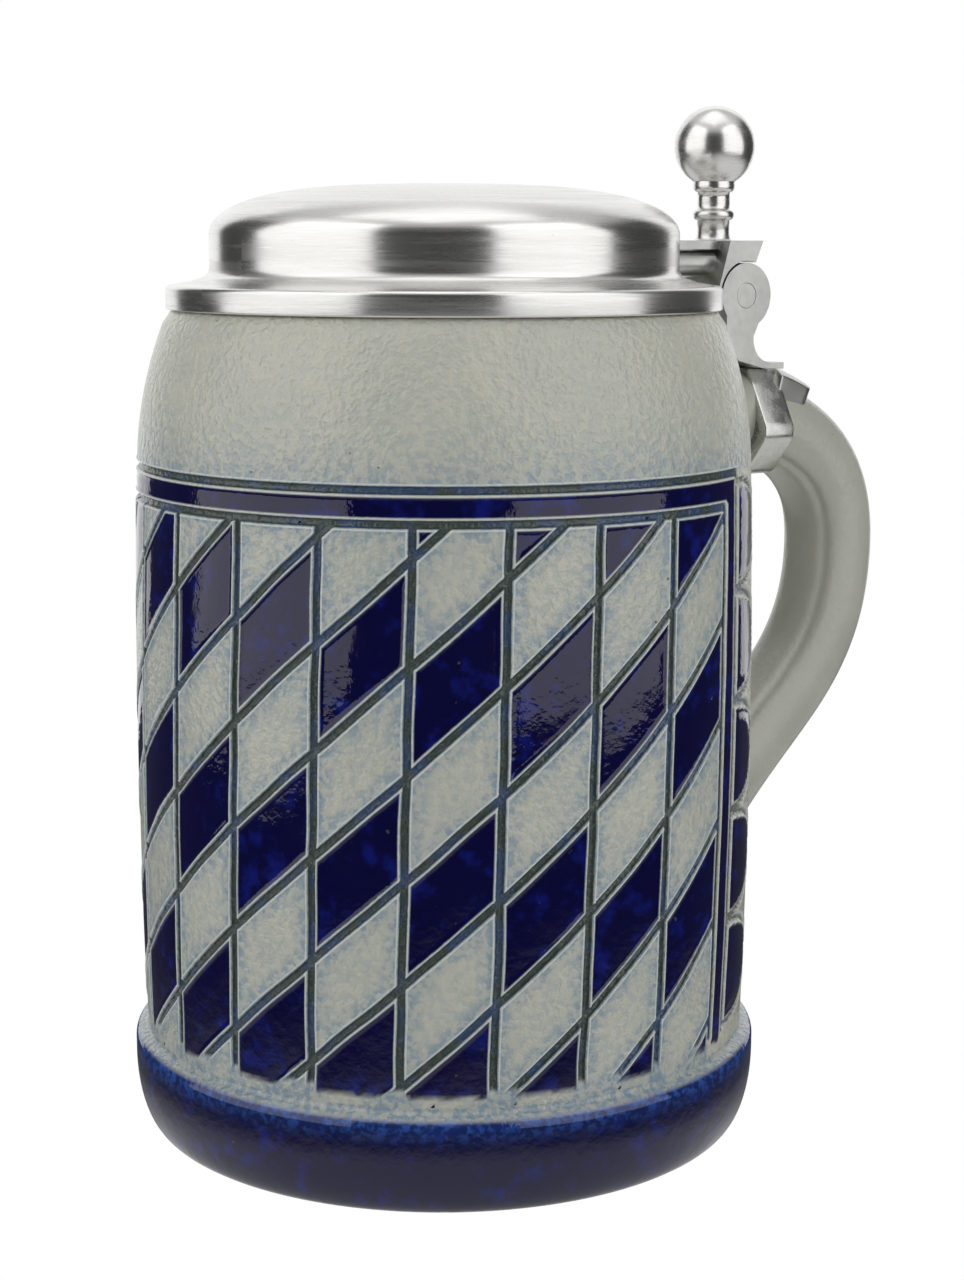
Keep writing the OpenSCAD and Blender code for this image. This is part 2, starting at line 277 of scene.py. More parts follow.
class Wheel:
    """Bends flat sheets round an upright axis with one Geometry Nodes tree.

    A sheet's x is a length round the axis at the sheet radius, y is the distance out from the rule's surface
    and z is the height.
    """

    SHEET_RADIUS = 47.5 * MM
    WELD = 0.004 * MM

    def __init__(self) -> None:
        """Build the tree once."""
        names = ["Sheet Radius", "Belly Radius", "Belly Drop",
                 "Belly Height", "Belly Reach", "Shoulder Height",
                 "Shoulder Drop", "Shoulder Reach", "Lean", "Lean Height", "Start Angle", "Centre X",
                 "Weld Distance"]
        inputs = {"Sheet": Socket.GEOMETRY} | {name: Socket.VALUE for name in names}
        inputs["Material"] = Socket.MATERIAL
        t = new_group("bend_round_axis", "GeometryNodeTree", inputs, {"Shape": Socket.GEOMETRY})
        enter = t.node("NodeGroupInput").outputs
        place = t.node("ShaderNodeSeparateXYZ")
        t.plug(place.inputs[0], t.node("GeometryNodeInputPosition").outputs[0])
        x, y, z = place.outputs
        from_belly = t.math("DIVIDE", t.math("SUBTRACT", z, enter["Belly Height"]), enter["Belly Reach"])
        drop = t.math("MULTIPLY", enter["Belly Drop"], t.math("MULTIPLY", from_belly, from_belly))
        above = t.math("MAXIMUM", t.math("SUBTRACT", z, enter["Shoulder Height"]), 0.0)
        share = t.math("DIVIDE", above, enter["Shoulder Reach"])
        shoulder = t.math("MULTIPLY", enter["Shoulder Drop"], t.math("MULTIPLY", share, share))
        wall = t.math("SUBTRACT", t.math("SUBTRACT", enter["Belly Radius"], drop), shoulder)
        radius = t.math("ADD", wall, y)
        turn = t.math("DIVIDE", x, enter["Sheet Radius"])
        lean = t.math("MULTIPLY", enter["Lean"], t.math("SUBTRACT", z, enter["Lean Height"]))
        angle = t.math("ADD", t.math("ADD", turn, lean), enter["Start Angle"])
        bent = t.node("ShaderNodeCombineXYZ")
        t.plug(bent.inputs[0], t.math("MULTIPLY_ADD", radius, t.math("COSINE", angle), enter["Centre X"]))
        t.plug(bent.inputs[1], t.math("MULTIPLY", radius, t.math("SINE", angle)))
        t.plug(bent.inputs[2], z)
        move = t.node("GeometryNodeSetPosition")
        t.plug(move.inputs["Geometry"], enter["Sheet"])
        t.plug(move.inputs["Position"], bent.outputs[0])
        weld = t.node("GeometryNodeMergeByDistance")
        t.plug(weld.inputs["Geometry"], move.outputs[0])
        t.plug(weld.inputs["Distance"], enter["Weld Distance"])
        soft = t.node("GeometryNodeSetShadeSmooth")
        t.plug(soft.inputs["Geometry"], weld.outputs[0])
        real = t.node("GeometryNodeRealizeInstances")
        t.plug(real.inputs[0], soft.outputs[0])
        dress = t.node("GeometryNodeSetMaterial")
        t.plug(dress.inputs["Geometry"], real.outputs[0])
        t.plug(dress.inputs["Material"], enter["Material"])
        t.plug(t.node("NodeGroupOutput").inputs[0], dress.outputs[0])
        self.tree = t.tree

    def bend(self, name: str, sheet: bpy.types.Mesh, rule: Barrel | Spindle, finish: bpy.types.Material,
             ) -> bpy.types.Object:
        """Bend a sheet into a closed piece.

        Args:
            name: Name of the piece.
            sheet: The flat mesh.
            rule: Where the sheet's surface lies.
            finish: The piece's material.

        Returns:
            The finished object, with normals pointing out.
        """
        flat = bpy.data.objects.new(name + "_sheet", sheet)
        bpy.context.scene.collection.objects.link(flat)
        modifier = flat.modifiers.new("bend", "NODES")
        modifier.node_group = self.tree
        values = {
            "Sheet Radius": self.SHEET_RADIUS,
            "Belly Radius": rule.belly_radius, "Belly Drop": rule.belly_drop,
            "Belly Height": rule.belly_height, "Belly Reach": rule.shoulder_height - rule.belly_height,
            "Shoulder Height": rule.shoulder_height, "Shoulder Drop": rule.shoulder_drop,
            "Shoulder Reach": rule.rim_height - rule.shoulder_height, "Lean": rule.lean,
            "Lean Height": rule.lean_height, "Start Angle": rule.start_angle, "Centre X": rule.centre_x,
            "Weld Distance": self.WELD, "Material": finish,
        }
        for item in self.tree.interface.items_tree:
            if item.in_out == "INPUT" and item.name in values:
                modifier[item.identifier] = values[item.name]
        graph = bpy.context.evaluated_depsgraph_get()
        seen = flat.evaluated_get(graph)
        mesh = bpy.data.meshes.new_from_object(seen, preserve_all_data_layers=True, depsgraph=graph)
        bpy.data.objects.remove(flat)
        close(mesh)
        return placed(name, mesh, finish)


def close(mesh: bpy.types.Mesh) -> None:
    """Turn a closed mesh's faces outwards."""
    work = bmesh.new()
    work.from_mesh(mesh)
    bmesh.ops.dissolve_degenerate(work, dist=TINY, edges=work.edges)
    bmesh.ops.recalc_face_normals(work, faces=work.faces)
    work.to_mesh(mesh)
    work.free()


def outward(work: bmesh.types.BMesh, name: str) -> bpy.types.Mesh:
    """Turn a closed shell's faces outwards and return it as a mesh.

    Args:
        work: The shell, which is freed.
        name: Name of the mesh.

    Returns:
        The mesh.
    """
    bmesh.ops.recalc_face_normals(work, faces=work.faces)
    mesh = bpy.data.meshes.new(name)
    work.to_mesh(mesh)
    work.free()
    return mesh


def bridge(work: bmesh.types.BMesh, low: list[bmesh.types.BMVert], high: list[bmesh.types.BMVert]) -> None:
    """Fill between two closed rings of the same count."""
    for i in range(len(low)):
        j = (i + 1) % len(low)
        work.faces.new((low[i], low[j], high[j], high[i]))


def placed(name: str, mesh: bpy.types.Mesh, finish: bpy.types.Material) -> bpy.types.Object:
    """Link a mesh as a smooth-shaded object with one material.

    Args:
        name: Name of the object and its mesh.
        mesh: The mesh.
        finish: The object's material.

    Returns:
        The object.
    """
    mesh.name = name
    mesh.materials.clear()
    mesh.materials.append(finish)
    mesh.polygons.foreach_set("use_smooth", [True] * len(mesh.polygons))
    piece = bpy.data.objects.new(name, mesh)
    bpy.context.scene.collection.objects.link(piece)
    return piece


class Sheet:
    """A flat mesh with painted points, built from grids that are laced together."""

    def __init__(self) -> None:
        """Start empty."""
        self.points: list[Place] = []
        self.faces: list[tuple[int, ...]] = []
        self.paint: list[Colour] = []

    def add(self, x: float, y: float, z: float, paint: Colour = BLANK) -> int:
        """Add a point and return its number."""
        self.points.append((x, y, z))
        self.paint.append(paint)
        return len(self.points) - 1

    def fill(self, rows: list[list[int]]) -> None:
        """Fill a grid of point numbers with quads."""
        for low, high in zip(rows, rows[1:]):
            for i in range(len(low) - 1):
                self.faces.append((low[i], low[i + 1], high[i + 1], high[i]))

    def lace(self, first: list[int], second: list[int], axis: int) -> None:
        """Join two rows of different counts with triangles, walking along an axis.

        Args:
            first: Point numbers in rising order along the axis.
            second: The other row, in the same order.
            axis: 0 to walk along x, 2 along z.
        """
        i = j = 0
        while i < len(first) - 1 or j < len(second) - 1:
            can_first = i < len(first) - 1
            can_second = j < len(second) - 1
            if can_first and (not can_second or
                              self.points[first[i + 1]][axis] <= self.points[second[j + 1]][axis]):
                self.faces.append((first[i], first[i + 1], second[j]))
                i += 1
            else:
                self.faces.append((first[i], second[j + 1], second[j]))
                j += 1

    def mesh(self, name: str) -> bpy.types.Mesh:
        """Return the sheet as a mesh with its paint, which holds masks for painted shade and painted
        highlights, as an attribute called glaze.
        """
        made = bpy.data.meshes.new(name)
        made.from_pydata(self.points, [], self.faces)
        layer = made.attributes.new("glaze", "FLOAT_COLOR", "POINT")
        layer.data.foreach_set("color", [value for paint in self.paint for value in paint])
        return made


def turned(wheel: Wheel, name: str, outline: list[Point], finish: bpy.types.Material, centre_x: float = 0.0,
           sides: int = 192) -> bpy.types.Object:
    """Turn an outline of (radius, height) points round an upright axis.

    Args:
        wheel: The bending tree.
        name: Name of the piece.
        outline: Outline from axis to axis.
        finish: The piece's material.
        centre_x: Where the axis stands.
        sides: Number of steps round.

    Returns:
        The finished object.
    """
    sheet = Sheet()
    width = 2 * math.pi * wheel.SHEET_RADIUS
    sheet.fill([[sheet.add(width * i / sides, r, z) for i in range(sides + 1)] for r, z in outline])
    return wheel.bend(name, sheet.mesh(name), Spindle(centre_x=centre_x), finish)


# ---- Stoneware ----------------------------------------------------------------------------------------------


@dataclass(frozen=True)
class Relief:
    """The pressed pattern: lozenges between uprights and slants, in a frame, with scallops beside it."""

    columns: int = 14
    column_angle: float = math.radians(16.178)
    slant_rise: float = 12.18 * MM
    slant_pitch: float = 15.03 * MM
    slant_origin: float = 57.4 * MM
    low_groove: float = 98.6 * MM
    up_groove: float = 103.2 * MM
    line_end: float = 18.3 * MM
    groove_flat: float = 0.36 * MM
    groove_edge: float = 0.62 * MM
    ridge_crest: float = 0.80 * MM
    ridge_foot: float = 1.05 * MM
    groove_depth: float = 0.62 * MM
    ridge_height: float = 0.16 * MM
    cobalt_swell: float = 0.07 * MM
    scallops: int = 5
    scallop_reach: float = 16.0 * MM
    scallop_low: float = 19.3 * MM
    scallop_high: float = 102.3 * MM

    @property
    def column(self) -> float:
        """Return the width of one column on the sheet."""
        return self.column_angle * Wheel.SHEET_RADIUS

    @property
    def half(self) -> float:
        """Return the distance from the panel's middle to its frame."""
        return self.columns / 2 * self.column

    @property
    def frame(self) -> float:
        """Return the distance from the panel's middle to the outer groove."""
        return self.half + self.up_groove - self.low_groove

    @property
    def end(self) -> float:
        """Return where the decoration ends beside the scallops."""
        return self.frame + self.scallop_reach + 2 * MM

    @property
    def slant_cosine(self) -> float:
        """Return the cosine of the slants' angle."""
        return math.cos(math.atan2(self.slant_rise, self.column))

    def slant(self, x: float, z: float) -> float:
        """Return the slant number at a place on the sheet, whole on a slant."""
        return (self.slant_origin + self.slant_rise * x / self.column - z) / self.slant_pitch

    def profile(self, distance: float, strength: float) -> float:
        """Return the height at a distance from a groove's middle."""
        if distance < self.groove_edge:
            return -self.groove_depth * strength * (1 - smooth(distance, self.groove_flat, self.groove_edge))
        rise = smooth(distance, self.groove_edge, self.ridge_crest)
        fall = 1 - smooth(distance, self.ridge_crest, self.ridge_foot)
        return self.ridge_height * strength * min(rise, fall)

    def lines(self, x: float, z: float) -> tuple[list[Point], bool]:
        """Return the grooves near a place and whether its field is cobalt.

        Args:
            x: Place along the sheet, 0 in the panel's middle.
            z: Height.

        Returns:
            (distance, strength) of each groove, and the field's colour.
        """
        side = abs(x)
        if side <= self.half and z <= self.low_groove:
            u, v = x / self.column, self.slant(x, z)
            ends = smooth(z, self.line_end - 0.6 * MM, self.line_end + 0.8 * MM)
            near = [(abs(u - round(u)) * self.column, ends),
                    (abs(v - round(v)) * self.slant_pitch * self.slant_cosine, ends),
                    (self.low_groove - z, 1.0)]
            return near, (math.floor(u) + math.floor(v)) % 2 == 0
        low = smooth(z, self.line_end - 0.6 * MM, self.line_end + 0.8 * MM)
        inner = math.hypot(max(0.0, side - self.half), max(0.0, z - self.low_groove))
        if side <= self.frame and z <= self.up_groove:
            outer = min(self.frame - side, self.up_groove - z)
            return [(inner, low if z < self.low_groove else 1.0), (outer, low)], True
        beyond = math.hypot(max(0.0, side - self.frame), max(0.0, z - self.up_groove))
        near = [(beyond, low)]
        pitch = (self.scallop_high - self.scallop_low) / self.scallops
        number = math.floor((z - self.scallop_low) / pitch)
        if side > self.frame and 0 <= number < self.scallops:
            half = pitch / 2 - 0.35 * MM
            across = (side - self.frame) / self.scallop_reach
            along = (z - self.scallop_low - (number + 0.5) * pitch) / half
            level = math.hypot(across, along) or 1e-6
            slope = math.hypot(across / self.scallop_reach, along / half) / level
            distance = (level - 1) / max(slope, 1e-6)
            near.append((abs(distance), 0.75))
            return near, distance < 0
        return near, False

    def sample(self, x: float, z: float) -> tuple[float, Colour]:
        """Return the height and the paint (cobalt, groove shade, ridge highlight, blush) at a place on the
        sheet; the groove channel is painted shade and the ridge channel painted highlight.
        """
        near, cobalt_field = self.lines(x, z)
        heights = [self.profile(distance, strength) for distance, strength in near]
        height = min(heights) if min(heights) < 0 else max(heights)
        closest = min(distance for distance, _ in near)
        # Mask for painted shade in the grooves.
        groove = max(s * (1 - smooth(d, self.groove_edge - 0.14 * MM, self.groove_edge + 0.08 * MM))
                     for d, s in near)
        # Mask for a pale painted highlight along the ridge crests, kept off the grooves.
        ridge_highlight = max(s * min(smooth(d, self.groove_edge, self.ridge_crest - 0.04 * MM),
                            1 - smooth(d, self.ridge_crest + 0.04 * MM, self.ridge_foot)) for d, s in near)
        ridge_highlight *= 1 - groove
        ragged = 0.5 * MM * noise.noise(Vector((x, 0.0, z)) / (1.6 * MM))
        cobalt = 0.0
        if cobalt_field:
            start = self.line_end - 1.0 * MM + ragged
            cobalt = smooth(closest, self.ridge_crest, self.ridge_foot) * smooth(z, start, start + 0.7 * MM)
        height += cobalt * self.cobalt_swell * smooth(closest, self.ridge_foot, 3 * MM)
        blush = 0.0
        if abs(x) < self.frame + 8 * MM and z > self.up_groove:
            blush = math.exp(-(z - self.up_groove) / (4.6 * MM))
        elif abs(x) < self.half and z < self.low_groove:
            blush = 0.25 + 0.75 * (1 - smooth(closest, 0.8 * MM, 3.2 * MM))
        return height, (cobalt, groove, ridge_highlight, blush)


@dataclass
class StoneBody:
    """The jiggered body: plinth, decorated wall, shoulder, rim, hollow and floor."""

    barrel: Barrel
    relief: Relief = field(default_factory=Relief)
    wall: float = 5 * MM
    floor: float = 7 * MM
    plinth_radius: float = 48.8 * MM
    plinth_height: float = 15.3 * MM
    foot_radius: float = 44.8 * MM
    crest: float = 2 * MM
    rings: int = 216
    wobble: float = 0.22 * MM

    @property
    def girth(self) -> float:
        """Return the sheet's width, once round."""
        return 2 * math.pi * Wheel.SHEET_RADIUS

    def drift(self, x: float, z: float) -> Point:
        """Return how far the potter's mould wanders at a place in the panel."""
        hold = 1 - smooth(abs(x), self.relief.frame, self.relief.end)
        hold *= smooth(z, self.relief.line_end - 2 * MM, self.relief.line_end + 4 * MM)
        hold *= 1 - smooth(z, self.relief.low_groove - 5 * MM, self.relief.low_groove)
        here, reach = Vector((x, 0.3, z)) / (9 * MM), self.wobble * hold
        return reach * noise.noise(here), reach * noise.noise(here + Vector((7, 5, 3)))

    def put(self, sheet: Sheet, x: float, z: float) -> int:
        """Add a point of the decorated wall."""
        height, paint = self.relief.sample(x, z)
        dx, dz = self.drift(x, z)
        return sheet.add(x + dx, height, z + dz, paint)

    def panel_lines(self, period: float, fine: list[float]) -> list[float]:
        """Return the offsets of the lines between two grooves, close together near each."""
        inner = period - 2 * fine[-1]
        steps = max(2, round(inner / (1.7 * MM)))
        middle = [fine[-1] + inner * i / steps for i in range(1, steps)]
        return fine + middle + [period - offset for offset in reversed(fine[1:])]

    def lattice(self, sheet: Sheet, bottom: float) -> dict[str, list[int]]:
        """Make the lozenge panel on lines that follow its uprights and slants.

        Args:
            sheet: The sheet to add to.
            bottom: Height of the panel's lower edge.

        Returns:
            The panel's edges: left, right, low and high, in rising order.
        """
        r = self.relief
        fine = [0.0, r.groove_flat, 0.5 * MM, r.groove_edge, r.ridge_crest, r.ridge_foot, 1.7 * MM]
        across = [c * r.column + d for c in range(-r.columns // 2, r.columns // 2)
                  for d in self.panel_lines(r.column, fine)] + [r.half]
        period = r.slant_pitch * r.slant_cosine
        slants = [d / period for d in self.panel_lines(period, fine)]
        first = math.floor(r.slant(-r.half, r.low_groove)) - 1
        last = math.ceil(r.slant(r.half, bottom)) + 1
        work = bmesh.new()
        numbers = [k + share for k in range(first, last) for share in slants]
        margin = 3 * MM
        before: list[bmesh.types.BMVert | None] = []
        for x in across:
            now: list[bmesh.types.BMVert | None] = []
            for v in numbers:
                z = r.slant_origin + r.slant_rise * x / r.column - v * r.slant_pitch
                now.append(work.verts.new((x, 0, z)) if bottom - margin < z < r.low_groove + margin else None)
            for i in range(len(now) - 1):
                corner = (before[i], now[i], now[i + 1], before[i + 1]) if before else (None,)
                if all(corner):
                    work.faces.new(corner)
            before = now
        edges_low = [bottom, bottom + 0.8 * MM, r.line_end - 0.6 * MM, r.line_end, r.line_end + 0.8 * MM]
        edges_high = [r.low_groove - d for d in (0.0, *fine[1:])]
        for z in edges_low + edges_high:
            bmesh.ops.bisect_plane(work, geom=work.verts[:] + work.edges[:] + work.faces[:], dist=TINY,
                                   plane_co=(0, 0, z), plane_no=(0, 0, 1),
                                   clear_inner=z == bottom, clear_outer=z == r.low_groove)
        loose = [v for v in work.verts if not v.link_faces]
        bmesh.ops.delete(work, geom=loose, context="VERTS")
        number = {vert: self.put(sheet, vert.co.x, vert.co.z) for vert in work.verts}
        sheet.faces += [tuple(number[vert] for vert in face.verts) for face in work.faces]

        def side(axis: int, place: float, along: int) -> list[int]:
            """Return the numbers of the points on one edge, sorted along an axis."""
            found = [v for v in work.verts if abs(v.co[axis] - place) < TINY]
            return [number[v] for v in sorted(found, key=lambda v: v.co[along])]

        edges = {"left": side(0, -r.half, 2), "right": side(0, r.half, 2), "low": side(2, bottom, 0),
                 "high": side(2, r.low_groove, 0)}
        work.free()
        return edges

    def spread(self, start: float, end: float, step: float) -> list[float]:
        """Return evenly spaced values from start to end."""
        count = max(1, round(abs(end - start) / step))
        return [start + (end - start) * i / count for i in range(count + 1)]

    def around(self, sheet: Sheet, rows: list[Point], paint: Callable[[float, float], Colour],
               ) -> list[list[int]]:
        """Add plain rings and fill between them.

        Args:
            sheet: The sheet they are added to.
            rows: Radius and height of each ring.
            paint: Gives the paint at a radius and height.

        Returns:
            The numbers of each ring's points.
        """
        xs = self.spread(-self.girth / 2, self.girth / 2, self.girth / self.rings)
        made = [[sheet.add(x, r - self.barrel.radius(z), z, paint(r, z)) for x in xs] for r, z in rows]
        sheet.fill(made)
        return made

    def sheet(self) -> bpy.types.Mesh:
        """Lay out the whole body flat."""
        r = self.relief
        sheet = Sheet()
        bottom = self.plinth_height + 1.0 * MM
        seam = 0.1 * MM
        panel = self.lattice(sheet, bottom)
        belt_z = self.spread(bottom, r.low_groove, 0.34 * MM)
        plain_z = self.spread(bottom, r.low_groove, 4 * MM)
        steps = [r.groove_flat, 0.5 * MM, r.groove_edge, r.ridge_crest, r.ridge_foot, 1.7 * MM]
        frame_x = ([r.half + d for d in [seam, *steps]] + [(r.half + r.frame) / 2]
                   + [r.frame - d for d in reversed(steps)] + [r.frame] + [r.frame + d for d in steps[:-1]]
                   + self.spread(r.frame + steps[-1], r.end, 0.34 * MM))
        plain_x = self.spread(r.end + 2 * MM, self.girth / 2, 2 * MM)
        low, high = list(panel["low"]), list(panel["high"])
        for side in (-1, 1):
            frame_cols = [[self.put(sheet, side * x, z) for z in belt_z] for x in frame_x]
            plain_cols = [[self.put(sheet, side * x, z) for z in plain_z] for x in plain_x]
            sheet.fill(frame_cols)
            sheet.fill(plain_cols)
            sheet.lace(panel["right" if side > 0 else "left"], frame_cols[0], 2)
            sheet.lace(frame_cols[-1], plain_cols[0], 2)
            outer_low = [column[0] for column in frame_cols + plain_cols]
            outer_high = [column[-1] for column in frame_cols + plain_cols]
            low = low + outer_low if side > 0 else outer_low[::-1] + low
            high = high + outer_high if side > 0 else outer_high[::-1] + high
        # Band between the two grooves, once round
        half_x = self.spread(0, r.half, r.column / 8) + frame_x + plain_x
        band_x = [-x for x in reversed(half_x[1:])] + half_x
        band_z = ([r.low_groove + d for d in [seam, *steps]] + [(r.low_groove + r.up_groove) / 2]
                  + [r.up_groove - d for d in reversed(steps)] + [r.up_groove]
                  + [r.up_groove + d for d in steps])
        band = [[self.put(sheet, x, z) for x in band_x] for z in band_z]
        sheet.fill(band)
        sheet.lace(high, band[0], 0)
        # Plain shoulder, rim, hollow and floor
        rim, hollow = self.barrel.rim_height, self.barrel.rim_radius - self.wall
        wall_z = self.spread(band_z[-1] + 0.4 * MM, rim - 2 * MM, 1.2 * MM)
        above = [(self.barrel.radius(z), z) for z in wall_z]
        inside_z = self.spread(rim - 3 * MM, self.floor + 9 * MM, 2.6 * MM)
        corner = self.barrel.radius(self.floor + 9 * MM) - self.wall - 9 * MM
        soft = 1.2 * MM
        outline = (above + arc((self.barrel.rim_radius - soft, rim - soft), (soft, soft), 20, 90, 6)
                   + arc((hollow + 1 * MM, rim - 1 * MM), (1 * MM, 1 * MM), 90, 180, 5)
                   + [(self.barrel.radius(z) - self.wall, z) for z in inside_z]
                   + arc((corner, self.floor + 9 * MM), (9 * MM, 9 * MM), -8, -90, 10)
                   + [(corner * share, self.floor) for share in (0.75, 0.5, 0.25, 0.0)])
        upper = self.around(sheet, outline, lambda _, z: (0, 0, 0, r.sample(0, max(z, band_z[-1]))[1][3]))
        sheet.lace(band[-1], upper[0], 0)
        # Plinth and foot
        shelf = self.plinth_height
        side_z = shelf - 2 * self.crest
        radius, plinth, foot = self.barrel.radius(shelf), self.plinth_radius, self.foot_radius
        below = ([(self.barrel.radius(shelf + 0.7 * MM), shelf + 0.7 * MM), (radius, shelf + 0.4 * MM)]
                 + arc((plinth - self.crest, shelf - self.crest), (self.crest, self.crest), 80, 0, 10)
                 + self.spread_points((plinth, shelf - self.crest), (plinth, side_z), 3)
                 + arc((foot, side_z), (plinth - foot, side_z), -6, -90, 16)
                 + [(foot * share, 0.0) for share in (0.97, 0.75, 0.5, 0.25, 0.0)])
        lower = self.around(sheet, below, self.plinth_paint)
        sheet.lace(low, lower[0], 0)
        return sheet.mesh("stoneware_sheet")

    def spread_points(self, start: Point, end: Point, count: int) -> list[Point]:
        """Return points between two outline points, without the first."""
        return [(start[0] + (end[0] - start[0]) * i / count, start[1] + (end[1] - start[1]) * i / count)
                for i in range(1, count + 1)]

    def plinth_paint(self, radius: float, z: float) -> Colour:
        """Return the paint of the plinth: a pale painted highlight along its crest, a cobalt band and a bare
        foot.
        """
        if radius < self.foot_radius + 0.5 * MM and z < 1 * MM:
            return BLANK
        cobalt = 1 - smooth(z, self.plinth_height - 1.0 * MM, self.plinth_height - 0.2 * MM)
        # Pale painted highlight along the crest, carried in the ridge highlight channel.
        crest = 0.5 * smooth(z, self.plinth_height - 2.4 * MM, self.plinth_height - 1.2 * MM) * cobalt
        return (cobalt * smooth(z, 0.05 * MM, 0.5 * MM), 0, crest, 1 - cobalt)

    def build(self, wheel: Wheel, finish: bpy.types.Material) -> bpy.types.Object:
        """Make the body and let it stand for its frame node.

        Args:
            wheel: The wheel that bends it round.
            finish: Its glaze.

        Returns:
            The body.
        """
        piece = wheel.bend("stoneware_body_glazed", self.sheet(), self.barrel, finish)
        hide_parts("stoneware_body")
        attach(piece, "jug")
        return piece


@dataclass
class StoneHandle:
    """The pulled handle: a rounded-square section swept down two curves, shallowly furrowed on each side."""

    barrel: Barrel
    thickness: float = 14 * MM
    width: float = 14.4 * MM
    reach: float = 34.3 * MM
    drop: float = 16.2 * MM
    foot: float = 25.7 * MM
    root_flare: float = 2.4 * MM
    squareness: float = 0.84
    furrow_angle: float = math.radians(139)
    furrow_width: float = math.radians(7)
    furrow_depth: float = 0.38 * MM
    embed: float = 2.5 * MM
    sides: int = 120
    stations: int = 170

    def curves(self) -> tuple[list[Vector], list[Vector]]:
        """Return the control points of the upper and the lower curve."""
        radius, top = self.barrel.belly_radius, self.barrel.rim_height - self.drop
        far, turn = radius + self.reach, self.foot + 0.705 * (top - self.foot)
        upper = [(radius - 5 * MM, top + 0.1 * MM), (radius + 18.5 * MM, top - 1.2 * MM),
                 (far, turn + 17.8 * MM), (far, turn)]
        lower = [(far, turn), (far, turn - 28 * MM), (radius + 10 * MM, self.foot + 29.5 * MM),
                 (radius - 8.5 * MM, self.foot)]
        return [Vector(p) for p in upper], [Vector(p) for p in lower]

    def middle(self, s: float) -> Vector:
        """Return the middle line's (x, z) at share s of its length."""
        upper, lower = self.curves()
        p, t = (upper, 2 * s) if s < 0.5 else (lower, 2 * s - 1)
        return (1 - t) ** 3 * p[0] + 3 * (1 - t) ** 2 * t * p[1] + 3 * (1 - t) * t * t * p[2] + t ** 3 * p[3]

    def flare(self, s: float) -> float:
        """Return how much wider the section is at a root."""
        return self.root_flare * (max(0.0, 1 - s / 0.1) ** 2 + max(0.0, (s - 0.72) / 0.28) ** 2)

    def way(self, s: float) -> Vector:
        """Return the direction of the middle line at s."""
        return (self.middle(min(1.0, s + 0.002)) - self.middle(max(0.0, s - 0.002))).normalized()

    def crest(self, s: float, side: float, grow: float) -> Vector:
        """Return a point on the handle's back.

        Args:
            s: Share of the handle's length.
            side: Distance sideways from the middle plane.
            grow: Distance out from the handle's surface.

        Returns:
            The point.
        """
        mid, way = self.middle(s), self.way(s)
        power = 2 / self.squareness
        a, b = self.thickness / 2 + self.flare(s) + grow, self.width / 2 + self.flare(s) + grow
        up = a * (1 - min(1.0, abs(side) / b) ** power) ** (1 / power)
        return Vector((mid.x - way.y * up, side, mid.y + way.x * up))

    def ring(self, s: float) -> list[Place]:
        """Return one section, kept inside the body's wall.

        Args:
            s: Share of the handle's length.

        Returns:
            The section's points.
        """
        mid, way = self.middle(s), self.way(s)
        out = Vector((-way.y, way.x))
        a, b = self.thickness / 2 + self.flare(s), self.width / 2 + self.flare(s)
        fade = smooth(s, 0.1, 0.24)
        points = []
        for i in range(self.sides):
            q = 2 * math.pi * i / self.sides
            cos, sin = math.cos(q), math.sin(q)
            from_furrow = (abs(math.atan2(sin, cos)) - self.furrow_angle) / self.furrow_width
            dip = 1 - fade * self.furrow_depth * math.exp(-from_furrow ** 2) / a
            u = a * dip * math.copysign(abs(cos) ** self.squareness, cos)
            v = b * dip * math.copysign(abs(sin) ** self.squareness, sin)
            x, y, z = mid.x + out.x * u, v, mid.y + out.y * u
            shell = self.barrel.radius(z) - self.embed
            if math.hypot(x, y) < shell:
                x = math.sqrt(max(shell * shell - y * y, 0.0))
            points.append((x, y, z))
        return points

    def build(self, finish: bpy.types.Material) -> bpy.types.Object:
        """Sweep the handle and let it stand for its frame node.

        Args:
            finish: Its glaze.

        Returns:
            The handle.
        """
        work = bmesh.new()
        rings = [[work.verts.new(p) for p in self.ring(k / self.stations)] for k in range(self.stations + 1)]
        for low, high in zip(rings, rings[1:]):
            bridge(work, low, high)
        for ring in (rings[0], rings[-1]):
            centre = work.verts.new(sum((v.co for v in ring), Vector()) / len(ring))
            for i in range(self.sides):
                work.faces.new((ring[i], ring[(i + 1) % self.sides], centre))
        piece = placed("stoneware_handle_glazed", outward(work, "stoneware_handle_glazed"), finish)
        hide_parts("stoneware_handle")
        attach(piece, "jug")
        return piece


# ---- Lid, thumblift and hinge -------------------------------------------------------------------------------


